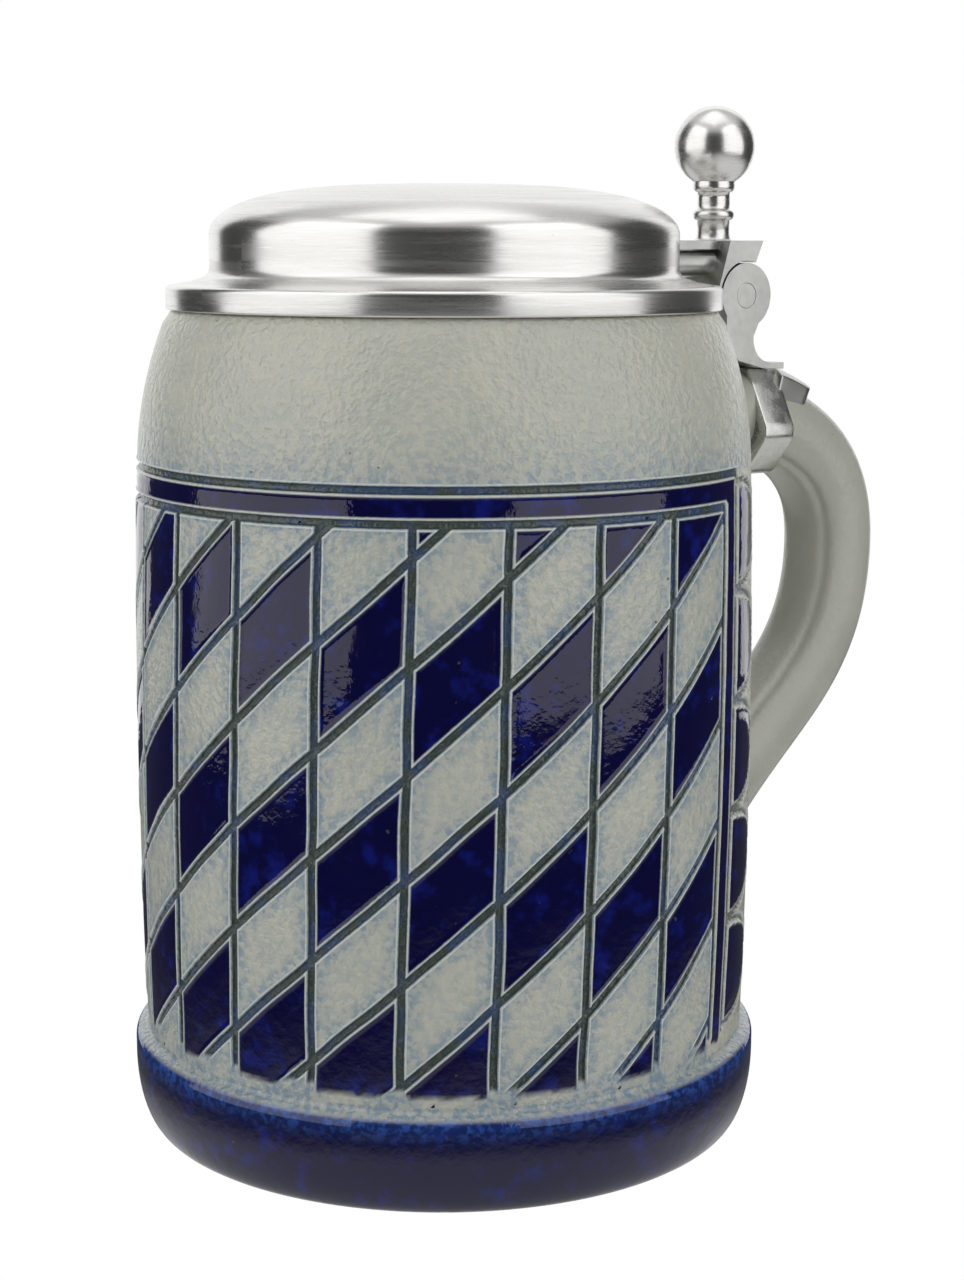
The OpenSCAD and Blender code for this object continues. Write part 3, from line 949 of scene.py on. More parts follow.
@dataclass
class Lid:
    """The spun lid: a flange on the rim, a straight-sided dome and a lip that centres it."""

    barrel: Barrel
    flange_over: float = 0.3 * MM
    flange_height: float = 3.6 * MM
    flange_width: float = 6.6 * MM
    dome_height: float = 18.6 * MM
    dome_round: float = 7.6 * MM
    thickness: float = 1.8 * MM
    lip_height: float = 1.8 * MM
    lip_gap: float = 0.5 * MM
    fillet: float = 1.8 * MM
    wall: float = 5 * MM

    def dome(self, radius: float, height: float, spring: float, steps: int = 56) -> list[Point]:
        """Return half the outline of a dome, from its side to its crown."""
        points = []
        for i in range(steps + 1):
            a = math.radians(90 - 90 * i / steps)
            points.append((radius * math.sin(a) ** 0.625, spring + height * math.cos(a) ** 0.952))
        return points

    def outline(self) -> list[Point]:
        """Return the lid's closed outline, from the crown's inside to its outside."""
        rim = self.barrel.rim_height
        edge = self.barrel.rim_radius + self.flange_over
        top = rim + self.flange_height
        side = edge - self.flange_width
        spring = rim + self.dome_height - self.dome_round
        lip = self.barrel.rim_radius - self.wall - self.lip_gap
        hollow = self.dome(side - self.thickness, self.dome_round - self.thickness, spring, 24)[::-1]
        below = [(side - self.thickness, rim + 2 * MM), (lip - 1.3 * MM, rim + 0.2 * MM),
                 (lip - 1.3 * MM, rim - self.lip_height), (lip - 0.3 * MM, rim - self.lip_height),
                 (lip - 0.02 * MM, rim - 0.1 * MM), (lip + 0.1 * MM, rim), (edge - 0.3 * MM, rim)]
        low, high, fillet = 0.3 * MM, 0.7 * MM, self.fillet
        outside = (arc((edge - low, rim + low), (low, low), -80, 0, 3)
                   + [(edge, top - 0.75 * MM)] + arc((edge - high, top - high), (high, high), 0, 80, 8)
                   + [(edge - self.flange_width * 0.55, top + 0.45 * MM)]
                   + arc((side + fillet, top + 0.9 * MM + fillet), (fillet, fillet), -95, -180, 10)
                   + [(side, (top + spring) / 2)] + self.dome(side, self.dome_round, spring))
        return hollow + below + outside

    def build(self, wheel: Wheel, finish: bpy.types.Material) -> bpy.types.Object:
        """Turn the lid and let it stand for its frame node."""
        piece = turned(wheel, "lid_shell_spun", self.outline(), finish, sides=256)
        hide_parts("lid_shell")
        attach(piece, "lid")
        return piece


@dataclass
class Thumblift:
    """The turned ball and its collared stem, standing on the hinge block."""

    seat: float
    centre_x: float
    ball_radius: float = 6.55 * MM
    stem_height: float = 9.5 * MM
    stem_radius: float = 2.65 * MM
    collar_radius: float = 3.4 * MM
    collar_height: float = 1.7 * MM
    spigot_radius: float = 1.4 * MM
    spigot_down: float = 2.2 * MM
    foot_flare: float = 0.6 * MM
    low_collar: float = 3.3 * MM

    @property
    def ball_height(self) -> float:
        """Return the height of the ball's centre."""
        return self.seat + self.stem_height + math.sqrt(self.ball_radius ** 2 - self.collar_radius ** 2)

    def stem_outline(self) -> list[Point]:
        """Return the stem's outline, from its foot in the block to its spigot in the ball."""
        r, c = self.stem_radius, self.collar_radius
        half, low = self.collar_height / 2, self.seat + self.low_collar
        top = self.seat + self.stem_height
        return ([(0, self.seat - self.spigot_down), (self.spigot_radius, self.seat - self.spigot_down),
                 (self.spigot_radius, self.seat), (r + self.foot_flare, self.seat)]
                + arc((r + self.foot_flare, self.seat + 1.2 * MM), (self.foot_flare, 1.2 * MM), -90, -180, 8)
                + arc((r, low + half), (c - r, half), -90, 90, 14) + [(r, low + 3 * half), (r, top - 3 * half)]
                + arc((r, top - half), (c - r, half), -90, 0, 8)
                + [(c, top), (self.spigot_radius, self.ball_height), (0, self.ball_height)])

    def ball_outline(self) -> list[Point]:
        """Return the ball's outline, with a small turned flat where it meets the stem."""
        start = -math.degrees(math.acos(0.9 * self.collar_radius / self.ball_radius))
        shell = arc((0, self.ball_height), (self.ball_radius, self.ball_radius), start, 90, 72)
        return [(0, shell[0][1]), *shell[:-1], (0, self.ball_height + self.ball_radius)]

    def build(self, wheel: Wheel, finish: bpy.types.Material) -> list[bpy.types.Object]:
        """Turn the stem and the ball."""
        made = []
        for node, outline in (("thumblift_stem", self.stem_outline()),
                              ("thumblift_ball", self.ball_outline())):
            piece = turned(wheel, node + "_turned", outline, finish, self.centre_x, 144)
            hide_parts(node)
            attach(piece, "lid")
            made.append(piece)
        return made


@dataclass
class StrapFittings:
    """The faceted strap round the handle, and the tongue that lies down the handle's back."""

    handle: StoneHandle
    place: float = 0.147
    strap_width: float = 6.6 * MM
    strap_thickness: float = 2.4 * MM
    strap_flat: float = 2.6 * MM
    strap_corners: Point = (0.09, 0.24)
    strap_depth: float = 2.6 * MM
    corner_radius: float = 1.3 * MM
    foot_short: float = 1.8 * MM
    soft_edge: float = 0.5 * MM
    tongue_start: float = 0.156
    tongue_end: float = 0.226
    tongue_root: Point = (6.7 * MM, 2.3 * MM)
    tongue_tip: Point = (6.1 * MM, 1.8 * MM)
    tongue_embed: float = 0.35 * MM
    tongue_round: float = 1.6 * MM
    tongue_bevel: float = 0.5 * MM
    tongue_bevel_angle: float = math.radians(50)

    def outline(self) -> list[Vector]:
        """Return the strap's outside as (across, up) points, eight sides with rounded corners."""
        half = self.handle.thickness / 2 / self.handle.way(self.place).x
        wide, flat = self.handle.width / 2 + self.strap_thickness, self.handle.width / 2 - self.strap_flat
        low, high = -half - self.strap_thickness, half + self.strap_thickness / 2
        near = [Vector((flat, high)), Vector((wide, -self.handle.thickness * self.strap_corners[0])),
                Vector((wide, -self.handle.thickness * self.strap_corners[1])), Vector((flat, low))]
        corners = near + [Vector((-p.x, p.y)) for p in reversed(near)]
        points = []
        for n, corner in enumerate(corners):
            before, after = corners[n - 1] - corner, corners[(n + 1) % len(corners)] - corner
            reach = min(self.corner_radius, before.length * 0.4, after.length * 0.4)
            start, end = corner + before.normalized() * reach, corner + after.normalized() * reach
            for k in range(9):
                t = k / 8
                points.append((1 - t) ** 2 * start + 2 * t * (1 - t) * corner + t * t * end)
        return points

    def strap(self) -> bpy.types.Mesh:
        """Loft the upright strap round the handle, its long edges slightly broken."""
        mid = self.handle.middle(self.place)
        half, soft = self.strap_width / 2, self.soft_edge
        section = [(half, self.strap_depth)]
        section += [(half - soft * (1 - math.cos(a)), soft * (1 - math.sin(a)))
                    for a in (math.radians(15 * i) for i in range(7))]
        section += [(-along, deep) for along, deep in reversed(section)]
        outline = self.outline()
        work = bmesh.new()
        rings = []
        for n, point in enumerate(outline):
            edge = outline[(n + 1) % len(outline)] - outline[n - 1]
            inward = Vector((-edge.y, edge.x)).normalized()
            if inward.dot(point) > 0:
                inward.negate()
            at = [(along, point + inward * deep) for along, deep in section]
            rings.append([work.verts.new((mid.x + along, p.x, mid.y + p.y)) for along, p in at])
        for n, ring in enumerate(rings):
            bridge(work, ring, rings[(n + 1) % len(rings)])
        return outward(work, "handle_strap")

    def tongue(self, rows: int = 18, columns: int = 26) -> bpy.types.Mesh:
        """Lay the tongue on the handle's back.

        Args:
            rows: Faces along it.
            columns: Faces across it.

        Returns:
            The tongue's mesh.
        """
        work = bmesh.new()
        layers = []
        for under in (False, True):
            grid = []
            for i in range(rows + 1):
                t = i / rows
                s = self.tongue_start + (self.tongue_end - self.tongue_start) * t
                half = self.tongue_root[0] + (self.tongue_tip[0] - self.tongue_root[0]) * t
                half -= self.tongue_round * max(0.0, (t - 0.75) / 0.25) ** 3
                grow = self.tongue_root[1] + (self.tongue_tip[1] - self.tongue_root[1]) * t
                grow = -self.tongue_embed if under else grow
                grid.append([work.verts.new(self.handle.crest(s, half * (2 * j / columns - 1), grow))
                             for j in range(columns + 1)])
            for low, high in zip(grid, grid[1:]):
                for j in range(columns):
                    work.faces.new((low[j], low[j + 1], high[j + 1], high[j]))
            layers.append(grid)
        top, below = layers
        rims = [(top[0], below[0]), (top[-1], below[-1]), ([r[0] for r in top], [r[0] for r in below]),
                ([r[-1] for r in top], [r[-1] for r in below])]
        for upper, lower in rims:
            for i in range(len(upper) - 1):
                work.faces.new((upper[i], upper[i + 1], lower[i + 1], lower[i]))
        return outward(work, "handle_tongue")

    def build(self, strap_finish: bpy.types.Material, tongue_finish: bpy.types.Material,
              ) -> list[bpy.types.Object]:
        """Make the strap and the tongue.

        Args:
            strap_finish: The strap's material.
            tongue_finish: The tongue's material.

        Returns:
            The strap and the tongue.
        """
        strap = placed("handle_strap_formed", self.strap(), strap_finish)
        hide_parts("handle_strap")
        tongue = placed("hinge_tongue_formed", self.tongue(), tongue_finish)
        bevel = tongue.modifiers.new("melted_edges", "BEVEL")
        bevel.width = self.tongue_bevel
        bevel.segments = 3
        bevel.angle_limit = self.tongue_bevel_angle
        for piece, slot in ((strap, "bright_pewter"), (tongue, "satin_pewter")):
            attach(piece, "jug")
        return [strap, tongue]

    @property
    def end_plane(self) -> tuple[Vector, Vector]:
        """Return a point where the hinge's foot ends on the strap and the direction out of it."""
        edge = self.handle.middle(self.place).x + self.strap_width / 2 - self.foot_short
        return Vector((edge, 0, 0)), Vector((1, 0, 0))


@dataclass
class CastPart:
    """A cast pewter part: its frame node with melted edges."""

    node: str
    body: str
    slot: str
    round_edge: float
    segments: int = 3
    cut: tuple[Vector, Vector] | None = None

    def build(self, nodes: dict[str, bpy.types.Object], finish: bpy.types.Material) -> bpy.types.Object:
        """Copy the node, weld its facets and round its edges.

        Args:
            nodes: The frame's nodes by name.
            finish: The part's material.

        Returns:
            The part.
        """
        work = bmesh.new()
        work.from_mesh(nodes[self.node].data)
        bmesh.ops.remove_doubles(work, verts=work.verts, dist=0.002 * MM)
        bmesh.ops.dissolve_limit(work, angle_limit=math.radians(0.6), verts=work.verts, edges=work.edges)
        if self.cut:
            found = bmesh.ops.bisect_plane(work, geom=work.verts[:] + work.edges[:] + work.faces[:], dist=TINY,
                                           plane_co=self.cut[0], plane_no=self.cut[1], clear_outer=True)
            rim = [item for item in found["geom_cut"] if isinstance(item, bmesh.types.BMEdge)]
            bmesh.ops.edgenet_fill(work, edges=rim)
        piece = placed(self.node + "_cast", outward(work, self.node + "_cast"), finish)
        bevel = piece.modifiers.new("melted_edges", "BEVEL")
        bevel.width = self.round_edge
        bevel.segments = self.segments
        bevel.limit_method = "ANGLE"
        bevel.angle_limit = math.radians(32)
        bevel.use_clamp_overlap = True
        bevel.harden_normals = True
        even = piece.modifiers.new("even_shading", "WEIGHTED_NORMAL")
        even.keep_sharp = False
        even.weight = 60
        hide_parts(self.node)
        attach(piece, self.body)
        return piece


# ---- Finishes -----------------------------------------------------------------------------------------------


class SurfaceEffects:
    """Shader groups that more than one finish uses."""

    def __init__(self) -> None:
        """Build the groups once."""
        self.salt = self._salt_skin()
        self.specks = self._specks()
        self.brushing = self._brushing()

    def _salt_skin(self) -> bpy.types.NodeTree:
        """Salt glaze skin: orange peel in millimetres, and how thick the glaze has gathered."""
        t = new_group("salt_skin", "ShaderNodeTree",
                      {"Vector": Socket.VECTOR, "Grain": Socket.VALUE, "Depth": Socket.VALUE},
                      {"Height": Socket.VALUE, "Pool": Socket.VALUE, "Cloud": Socket.VALUE})
        enter = t.node("NodeGroupInput").outputs
        frequency = t.math("DIVIDE", 1.0, enter["Grain"])
        peel = t.noise(enter["Vector"], frequency, 2.0, 0.45)
        fine = t.noise(enter["Vector"], t.math("MULTIPLY", frequency, 2.3), 1.0, 0.5)
        skin = t.math("MULTIPLY_ADD", fine, 0.35, peel)
        leave = t.node("NodeGroupOutput").inputs
        t.plug(leave["Height"], t.math("MULTIPLY", t.ramp(skin, 0.42, 0.95), enter["Depth"]))
        t.plug(leave["Pool"], t.ramp(skin, 0.78, 0.52))
        t.plug(leave["Cloud"], t.noise(enter["Vector"], 90.0, 4.0, 0.6))
        return t.tree

    def _specks(self) -> bpy.types.NodeTree:
        """Iron specks and pinholes: a mask of small round spots."""
        t = new_group("kiln_specks", "ShaderNodeTree",
                      {"Vector": Socket.VECTOR, "Spacing": Socket.VALUE, "Size": Socket.VALUE,
                       "Share": Socket.VALUE},
                      {"Mask": Socket.VALUE})
        enter = t.node("NodeGroupInput").outputs
        cells = t.node("ShaderNodeTexVoronoi", feature="F1")
        t.plug(cells.inputs["Vector"], enter["Vector"])
        t.plug(cells.inputs["Scale"], t.math("DIVIDE", 1.0, enter["Spacing"]))
        tint = t.node("ShaderNodeSeparateColor")
        t.plug(tint.inputs[0], cells.outputs["Color"])
        chosen = t.math("LESS_THAN", tint.outputs[0], enter["Share"])
        size = t.math("MULTIPLY", t.math("DIVIDE", enter["Size"], enter["Spacing"]),
                      t.math("ADD", tint.outputs[1], 0.3))
        inside = t.ramp(cells.outputs["Distance"], size, t.math("MULTIPLY", size, 0.5))
        t.plug(t.node("NodeGroupOutput").inputs["Mask"], t.math("MULTIPLY", inside, chosen))
        return t.tree

    def _brushing(self) -> bpy.types.NodeTree:
        """Fine lines left by abrasive, along whichever axis of the vector is squeezed."""
        t = new_group("brushed_lines", "ShaderNodeTree",
                      {"Vector": Socket.VECTOR, "Line Width": Socket.VALUE},
                      {"Lines": Socket.VALUE, "Wear": Socket.VALUE})
        enter = t.node("NodeGroupInput").outputs
        frequency = t.math("DIVIDE", 1.0, enter["Line Width"])
        lines = t.noise(enter["Vector"], frequency, 3.0, 0.6)
        wear = t.noise(enter["Vector"], t.math("MULTIPLY", frequency, 0.08), 4.0, 0.65)
        leave = t.node("NodeGroupOutput").inputs
        t.plug(leave["Lines"], lines)
        t.plug(leave["Wear"], t.ramp(wear, 0.35, 0.7))
        return t.tree


@dataclass(frozen=True)
class SaltGlaze:
    """Grey salt-glazed stoneware, with cobalt where the glaze paint asks for it."""

    name: str
    decorated: bool
    stone: Colour = (0.46, 0.465, 0.395, 1)
    stone_warm: Colour = (0.50, 0.495, 0.415, 1)
    stone_cool: Colour = (0.35, 0.40, 0.40, 1)
    blue_wash: Colour = (0.13, 0.22, 0.32, 1)
    cobalt: Colour = (0.0015, 0.0012, 0.036, 1)
    cobalt_thin: Colour = (0.004, 0.009, 0.15, 1)
    # Painted shade in the grooves: dark grey-green, dark blue in patches where cobalt ran in.
    groove: Colour = (0.05, 0.07, 0.062, 1)
    groove_shade_blue: Colour = (0.04, 0.075, 0.15, 1)
    # Pale painted highlight on the ridge crests and along the plinth's crest.
    ridge_highlight: Colour = (0.56, 0.60, 0.58, 1)
    # Lighter blue on the plinth's upper side and crest: painted light from above.
    crest: Colour = (0.03, 0.085, 0.33, 1)
    crest_light_band: Point = (10.5 * MM, 15.2 * MM)
    iron: Colour = (0.05, 0.035, 0.02, 1)
    bare: Colour = (0.42, 0.36, 0.27, 1)
    peel: float = 1.15 * MM
    peel_depth: float = 0.17
    roughness: float = 0.3

    def build(self, effects: SurfaceEffects) -> bpy.types.Material:
        """Make the material.

        Args:
            effects: The shared shader groups.

        Returns:
            The material.
        """
        material = bpy.data.materials.new(self.name)
        material.use_nodes = True
        t = Tree(material.node_tree)
        place = t.node("ShaderNodeTexCoord").outputs["Object"]
        salt = t.group(effects.salt, Vector=place, Grain=self.peel, Depth=self.peel_depth)
        height = salt.outputs["Height"]
        cloud, pool = salt.outputs["Cloud"], salt.outputs["Pool"]
        specks = t.group(effects.specks, Vector=place, Spacing=2.6 * MM, Size=0.24 * MM, Share=0.16)
        colour = t.mix(t.ramp(cloud, 0.35, 0.65), self.stone, self.stone_warm)
        colour = t.mix(t.math("MULTIPLY", pool, 0.22), colour, self.stone_cool)
        rough: Feed = t.ramp(cloud, 0.3, 0.7, self.roughness - 0.04, self.roughness + 0.05)
        coat: Feed = 0.35
        if self.decorated:
            colour, rough, coat, height = self._cobalt(t, effects, place, salt, colour, rough)
        colour = t.mix(t.math("MULTIPLY", specks.outputs["Mask"], 0.75), colour, self.iron)
        height = t.math("MULTIPLY_ADD", specks.outputs["Mask"], -0.05, height)
        bump = t.node("ShaderNodeBump")
        bump.inputs["Strength"].default_value = 1.0
        bump.inputs["Distance"].default_value = MM
        t.plug(bump.inputs["Height"], height)
        shader = t.node("ShaderNodeBsdfPrincipled")
        t.plug(shader.inputs["Base Color"], colour)
        t.plug(shader.inputs["Roughness"], rough)
        t.plug(shader.inputs["Coat Weight"], coat)
        t.plug(shader.inputs["Normal"], bump.outputs[0])
        t.plug(shader.inputs["Coat Normal"], bump.outputs[0])
        shader.inputs["Coat Roughness"].default_value = 0.06
        shader.inputs["Coat IOR"].default_value = 1.5
        shader.inputs["Specular IOR Level"].default_value = 0.5
        t.plug(t.node("ShaderNodeOutputMaterial").inputs[0], shader.outputs[0])
        return material

    def _cobalt(self, t: Tree, effects: SurfaceEffects, place: Feed, salt: bpy.types.Node, colour: Feed,
                rough: Feed) -> tuple[Feed, Feed, Feed, Feed]:
        """Lay the painted cobalt with painted light on the plinth's crest, painted shade in the grooves,
        painted highlights on the ridges, and the bare foot over the stone.

        Args:
            t: The material's tree.
            effects: The shared shader groups; not used.
            place: The place that is coloured.
            salt: The salt skin's node.
            colour: Colour of the stone.
            rough: Roughness of the stone.

        Returns:
            Colour, roughness, coat weight and height.
        """
        paint = t.node("ShaderNodeAttribute", attribute_name="glaze")
        parts = t.node("ShaderNodeSeparateColor")
        t.plug(parts.inputs[0], paint.outputs["Color"])
        # The glaze attribute holds cobalt, the mask of painted shade in the grooves, the mask of painted
        # highlights on the ridges and the plinth's crest, and the blush.
        cobalt, groove, ridge_highlight = parts.outputs
        blush = paint.outputs["Alpha"]
        cloud, pool = salt.outputs["Cloud"], salt.outputs["Pool"]
        wash = t.math("MULTIPLY", blush, t.math("MULTIPLY_ADD", pool, 0.5, 0.3), clamp=True)
        colour = t.mix(t.math("MULTIPLY", wash, 0.95), colour, self.blue_wash)
        thin = t.noise(place, 240.0, 3.0, 0.6)
        deep = t.mix(t.ramp(thin, 0.5, 0.72, 0.0, 0.8), self.cobalt, self.cobalt_thin)
        axes = t.node("ShaderNodeSeparateXYZ")
        t.plug(axes.inputs[0], place)
        # Painted light: the cobalt turns lighter blue up the plinth's side to its crest, varied by the salt
        # skin's pool.
        crest_light = t.math("MULTIPLY", t.ramp(axes.outputs[2], self.crest_light_band[0], self.crest_light_band[1]),
                      t.ramp(axes.outputs[2], self.crest_light_band[1] + 1.2 * MM, self.crest_light_band[1] + 0.4 * MM))
        deep = t.mix(t.math("MULTIPLY", crest_light, t.math("MULTIPLY_ADD", pool, 0.7, 0.3)), deep, self.crest)
        # Pale painted highlight on the ridges and along the plinth's crest.
        colour = t.mix(t.ramp(ridge_highlight, 0.15, 0.8), colour, self.ridge_highlight)
        colour = t.mix(cobalt, colour, deep)
        # Painted shade in the grooves, dark blue in patches where cobalt ran in.
        patch = t.ramp(t.noise(place, 160.0, 2.0, 0.5), 0.45, 0.62)
        colour = t.mix(t.ramp(groove, 0.35, 0.95), colour, t.mix(patch, self.groove, self.groove_shade_blue))
        foot = t.ramp(axes.outputs[2], 0.5 * MM, 0.15 * MM)
        colour = t.mix(foot, colour, self.bare)
        glassy = t.math("MULTIPLY", cobalt, t.math("SUBTRACT", 1.0, foot), clamp=True)
        rough = t.math("MULTIPLY_ADD", glassy, -0.24, rough, clamp=True)
        coat = t.math("MULTIPLY_ADD", glassy, -0.35, 0.35, clamp=True)
        swell = t.math("MULTIPLY", t.noise(place, 200.0, 2.0, 0.5), 0.09)
        calm = t.math("SUBTRACT", 1.0, t.math("MULTIPLY", cobalt, 0.93))
        height = t.math("ADD", t.math("MULTIPLY", salt.outputs["Height"], calm),
                        t.math("MULTIPLY", swell, cobalt))
        return colour, rough, coat, height


class Grain(Enum):
    """Which way a metal was brushed."""

    SPUN = "spun"
    ALONG = "along"
    CAST = "cast"


@dataclass(frozen=True)
class Pewter:
    """Pewter with a brushed, cast or polished skin."""

    name: str
    grain: Grain
    tone: Colour = (0.78, 0.775, 0.755, 1)
    tarnish: Colour = (0.60, 0.59, 0.56, 1)
    roughness: float = 0.3
    anisotropy: float = 0.0
    line_width: float = 0.16 * MM
    line_depth: float = 0.006
    line_stretch: float = 1.2 * MM
    along_stretch: Place = (1, 0.06, 1)

    def build(self, effects: SurfaceEffects, axis_x: float = 0.0) -> bpy.types.Material:
        """Make the material.

        Args:
            effects: The shared shader groups.
            axis_x: Where the axis of the brushing stands.

        Returns:
            The material.
        """
        material = bpy.data.materials.new(self.name)
        material.use_nodes = True
        t = Tree(material.node_tree)
        place = t.node("ShaderNodeTexCoord").outputs["Object"]
        if self.grain is Grain.SPUN:
            move = t.node("ShaderNodeVectorMath", operation="SUBTRACT")
            t.plug(move.inputs[0], place)
            t.plug(move.inputs[1], (axis_x, 0, 0))
            axes = t.node("ShaderNodeSeparateXYZ")
            t.plug(axes.inputs[0], move.outputs[0])
            flat = t.node("ShaderNodeVectorMath", operation="LENGTH")
            t.plug(flat.inputs[0], t.scaled(move.outputs[0], (1, 1, 0)))
            way = t.node("ShaderNodeCombineXYZ")
            t.plug(way.inputs[0], flat.outputs["Value"])
            angle = t.math("ARCTAN2", axes.outputs[1], axes.outputs[0])
            t.plug(way.inputs[1], t.math("MULTIPLY", angle, self.line_stretch))
            t.plug(way.inputs[2], axes.outputs[2])
            along: Feed = way.outputs[0]
        elif self.grain is Grain.ALONG:
            along = t.scaled(place, self.along_stretch)
        else:
            along = place
        brushed = t.group(effects.brushing, Vector=along, Line_Width=self.line_width)
        marks = t.group(effects.specks, Vector=place, Spacing=3.4 * MM, Size=0.22 * MM, Share=0.25)
        lines, wear = brushed.outputs
        colour = t.mix(t.ramp(lines, 0.25, 0.75, 0.0, 0.22), self.tone, self.tarnish)
        colour = t.mix(t.math("MULTIPLY", marks.outputs["Mask"], 0.35), colour, self.tarnish)
        rough = t.ramp(t.math("MULTIPLY_ADD", wear, 0.5, t.math("MULTIPLY", lines, 0.5)), 0.2, 0.8,
                       self.roughness - 0.05, self.roughness + 0.07)
        bump = t.node("ShaderNodeBump")
        bump.inputs["Distance"].default_value = MM
        t.plug(bump.inputs["Height"], t.math("MULTIPLY", lines, self.line_depth))
        shader = t.node("ShaderNodeBsdfPrincipled")
        t.plug(shader.inputs["Base Color"], colour)
        t.plug(shader.inputs["Roughness"], rough)
        t.plug(shader.inputs["Normal"], bump.outputs[0])
        shader.inputs["Metallic"].default_value = 1.0
        shader.inputs["Anisotropic"].default_value = self.anisotropy
        shader.inputs["Anisotropic Rotation"].default_value = 0.25 if self.anisotropy else 0.0
        if self.anisotropy:
            tangent = t.node("ShaderNodeTangent", direction_type="RADIAL", axis="Z")
            t.plug(shader.inputs["Tangent"], tangent.outputs[0])
        t.plug(t.node("ShaderNodeOutputMaterial").inputs[0], shader.outputs[0])
        return material


# ---- Studio -------------------------------------------------------------------------------------------------


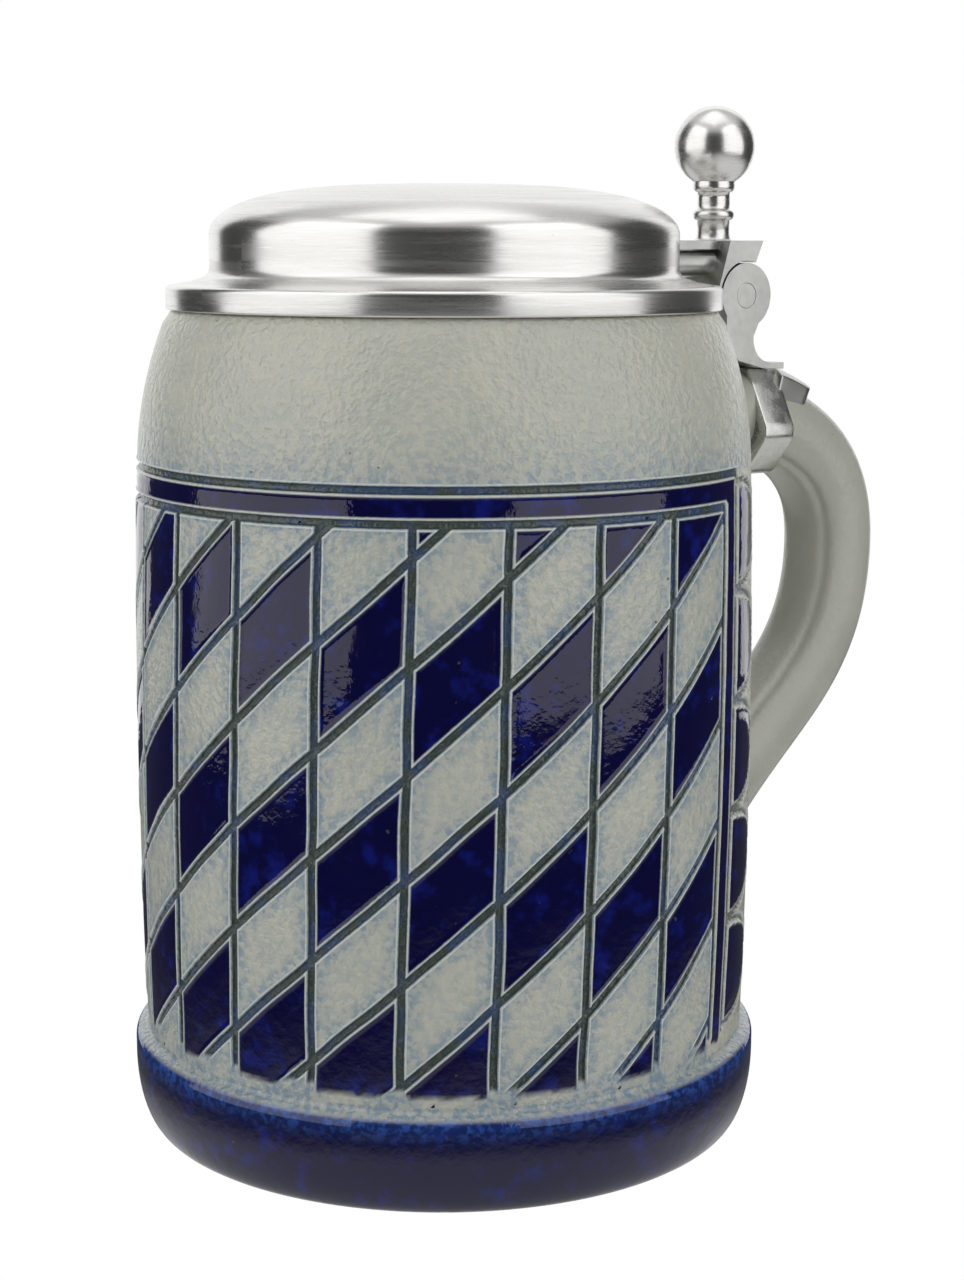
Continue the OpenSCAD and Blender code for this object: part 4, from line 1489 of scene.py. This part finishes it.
@dataclass
class Studio:
    """A white sweep, two tall softboxes, a top light and the camera."""

    camera_distance: float = 365.21 * MM
    camera_height: float = 137.03 * MM
    camera_azimuth: float = math.radians(-35.17)
    pitch: float = math.radians(9.639)
    yaw: float = math.radians(0.9115)
    roll: float = math.radians(0.1558)
    lens: float = 66.91
    light_aim: float = 70 * MM
    half_floor: float = 4.0
    paper: Colour = (0.8, 0.8, 0.8, 1)
    white: Colour = (1, 1, 1, 1)
    room_strength: float = 0.32
    horizon_strength: float = 0.05
    floor_strength: float = 0.7
    ceiling_strength: float = 0.55

    def camera(self) -> None:
        """Place the camera."""
        ca, sa = math.cos(self.pitch), math.sin(self.pitch)
        c, s = math.cos(self.yaw), math.sin(self.yaw)
        right, ahead, up = Vector((c, -s, 0)), Vector((s * ca, c * ca, -sa)), Vector((s * sa, c * sa, ca))
        cr, sr = math.cos(self.roll), math.sin(self.roll)
        right, up = cr * right + sr * up, cr * up - sr * right
        turn = Matrix.Rotation(self.camera_azimuth, 3, "Z")
        basis = Matrix([turn @ right, turn @ up, turn @ -ahead]).transposed().to_4x4()
        basis.translation = turn @ Vector((0, -self.camera_distance, self.camera_height))
        data = bpy.data.cameras.new("studio_camera")
        data.lens = self.lens
        data.clip_start = 0.01
        camera = bpy.data.objects.new("studio_camera", data)
        camera.matrix_world = basis
        bpy.context.scene.collection.objects.link(camera)
        bpy.context.scene.camera = camera

    def towards(self, turn: float) -> Vector:
        """Return the level direction from the object at an angle right of the camera, in degrees."""
        a = self.camera_azimuth
        to_camera, right = Vector((math.sin(a), -math.cos(a), 0)), Vector((math.cos(a), math.sin(a), 0))
        angle = math.radians(turn)
        return math.cos(angle) * to_camera + math.sin(angle) * right

    def softbox(self, name: str, turn: float, distance: float, height: float, size: Point,
                radiance: float) -> None:
        """Hang a rectangular light that faces the object.

        Args:
            name: Name of the light.
            turn: Degrees right of the camera.
            distance: Level distance from the object.
            height: Height of its middle.
            size: Width and height.
            radiance: Brightness of its face.
        """
        data = bpy.data.lights.new(name, "AREA")
        data.shape = "RECTANGLE"
        data.size, data.size_y = size
        data.energy = radiance * math.pi * size[0] * size[1]
        lamp = bpy.data.objects.new(name, data)
        where = self.towards(turn) * distance + Vector((0, 0, height))
        aim = Vector((0, 0, self.light_aim)) - where
        if distance > 0:
            aim.z = 0
        lamp.matrix_world = Matrix.Translation(where) @ aim.to_track_quat("-Z", "Y").to_matrix().to_4x4()
        lamp.visible_camera = False
        bpy.context.scene.collection.objects.link(lamp)

    def floor(self) -> None:
        """Lay the floor: white to the camera, pale grey to the light."""
        mesh = bpy.data.meshes.new("studio_floor")
        half = self.half_floor
        corners = [(-half, -half, 0), (half, -half, 0), (half, half, 0), (-half, half, 0)]
        mesh.from_pydata(corners, [], [(0, 1, 2, 3)])
        material = bpy.data.materials.new("studio_paper")
        material.use_nodes = True
        t = Tree(material.node_tree)
        glow = t.node("ShaderNodeEmission")
        glow.inputs["Color"].default_value = self.white
        paper = t.node("ShaderNodeBsdfDiffuse")
        paper.inputs["Color"].default_value = self.paper
        both = t.node("ShaderNodeMixShader")
        t.plug(both.inputs[0], t.node("ShaderNodeLightPath").outputs["Is Camera Ray"])
        t.plug(both.inputs[1], paper.outputs[0])
        t.plug(both.inputs[2], glow.outputs[0])
        t.plug(t.node("ShaderNodeOutputMaterial").inputs[0], both.outputs[0])
        floor = placed("studio_floor", mesh, material)
        floor.visible_glossy = False

    def world(self) -> None:
        """Set a white sky for the camera and a dim room for everything else."""
        world = bpy.data.worlds.new("studio_room")
        world.use_nodes = True
        bpy.context.scene.world = world
        t = Tree(world.node_tree)
        path = t.node("ShaderNodeLightPath").outputs
        white = t.node("ShaderNodeBackground")
        white.inputs["Color"].default_value = self.white
        room = t.node("ShaderNodeBackground")
        room.inputs["Color"].default_value = self.white
        axes = t.node("ShaderNodeSeparateXYZ")
        t.plug(axes.inputs[0], t.node("ShaderNodeTexCoord").outputs["Generated"])
        glossy = path["Is Glossy Ray"]
        below = t.ramp(axes.outputs[2], -0.3, -0.55, self.horizon_strength, self.floor_strength)
        above = t.ramp(axes.outputs[2], 0.5, 0.8, 0.0, self.ceiling_strength)
        reflected = t.math("MULTIPLY", glossy, t.math("ADD", below, above))
        lit = t.math("MULTIPLY", t.math("SUBTRACT", 1.0, glossy), self.room_strength)
        t.plug(room.inputs["Strength"], t.math("ADD", reflected, lit))
        both = t.node("ShaderNodeMixShader")
        t.plug(both.inputs[0], path["Is Camera Ray"])
        t.plug(both.inputs[1], room.outputs[0])
        t.plug(both.inputs[2], white.outputs[0])
        t.plug(t.node("ShaderNodeOutputWorld").inputs[0], both.outputs[0])

    def build(self) -> None:
        """Set up the whole studio."""
        bpy.context.scene.view_settings.view_transform = "Standard"
        self.camera()
        self.floor()
        self.world()
        self.softbox("left_softbox", -66.5, 0.75, 0.52, (0.98, 1.2), 1.25)
        self.softbox("right_softbox", 54, 0.75, 0.52, (0.9, 1.2), 1.25)
        self.softbox("back_sweep", 180, 1.2, 0.6, (2.1, 1.6), 1.0)
        self.softbox("top_light", 0, 0, 1.1, (0.8, 0.8), 0.8)


# ---- Assembly -----------------------------------------------------------------------------------------------


def main() -> None:
    """Build the stein and its studio."""
    logging.basicConfig(level=logging.INFO, format="%(message)s")
    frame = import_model()
    nodes = frame["nodes"]
    Studio().build()
    LOG.info("studio ready")

    effects = SurfaceEffects()
    barrel = Barrel()
    pin_low, pin_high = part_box("hinge_pin")
    pin_x = (pin_low.x + pin_high.x) / 2
    glaze = SaltGlaze("salt_glaze_cobalt", True).build(effects)
    # The handle's glaze is the body's grey glaze painted darker: painted shade on the handle.
    plain = SaltGlaze("salt_glaze_plain_shaded", False, (0.38, 0.385, 0.335, 1), (0.41, 0.41, 0.35, 1),
                      roughness=0.36, peel_depth=0.04).build(effects)
    satin = Pewter("pewter_spun", Grain.SPUN, roughness=0.28, anisotropy=0.6).build(effects)
    turned_metal = Pewter("pewter_turned", Grain.SPUN, roughness=0.27, line_width=0.3 * MM)
    turned = turned_metal.build(effects, pin_x)
    cast = Pewter("pewter_cast", Grain.CAST, (0.56, 0.56, 0.54, 1), (0.42, 0.42, 0.40, 1), 0.34,
                  line_width=1.1 * MM, line_depth=0.008).build(effects)
    polished = Pewter("pewter_polished", Grain.ALONG, (0.62, 0.62, 0.59, 1), (0.5, 0.5, 0.47, 1),
                      0.24).build(effects)

    wheel = Wheel()
    handle = StoneHandle(barrel)
    fittings = StrapFittings(handle)
    pieces = [StoneBody(barrel).build(wheel, glaze), handle.build(plain), Lid(barrel).build(wheel, satin)]
    pieces += fittings.build(polished, cast)
    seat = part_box("lid_tang")[1].z
    pieces += Thumblift(seat, pin_x).build(wheel, turned)
    for part, finish in (
        (CastPart("lid_tang", "lid", "satin_pewter", 0.3 * MM), cast),
        (CastPart("hinge_shank", "jug", "satin_pewter", 0.3 * MM, cut=fittings.end_plane), cast),
        (CastPart("hinge_pin", "jug", "bright_pewter", 0.12 * MM), cast),
    ):
        pieces.append(part.build(nodes, finish))
    for piece in pieces:
        faces = sum(len(polygon.vertices) - 2 for polygon in piece.data.polygons)
        LOG.info("%s: %d triangles", piece.name, faces)


if __name__ == "__main__":
    main()
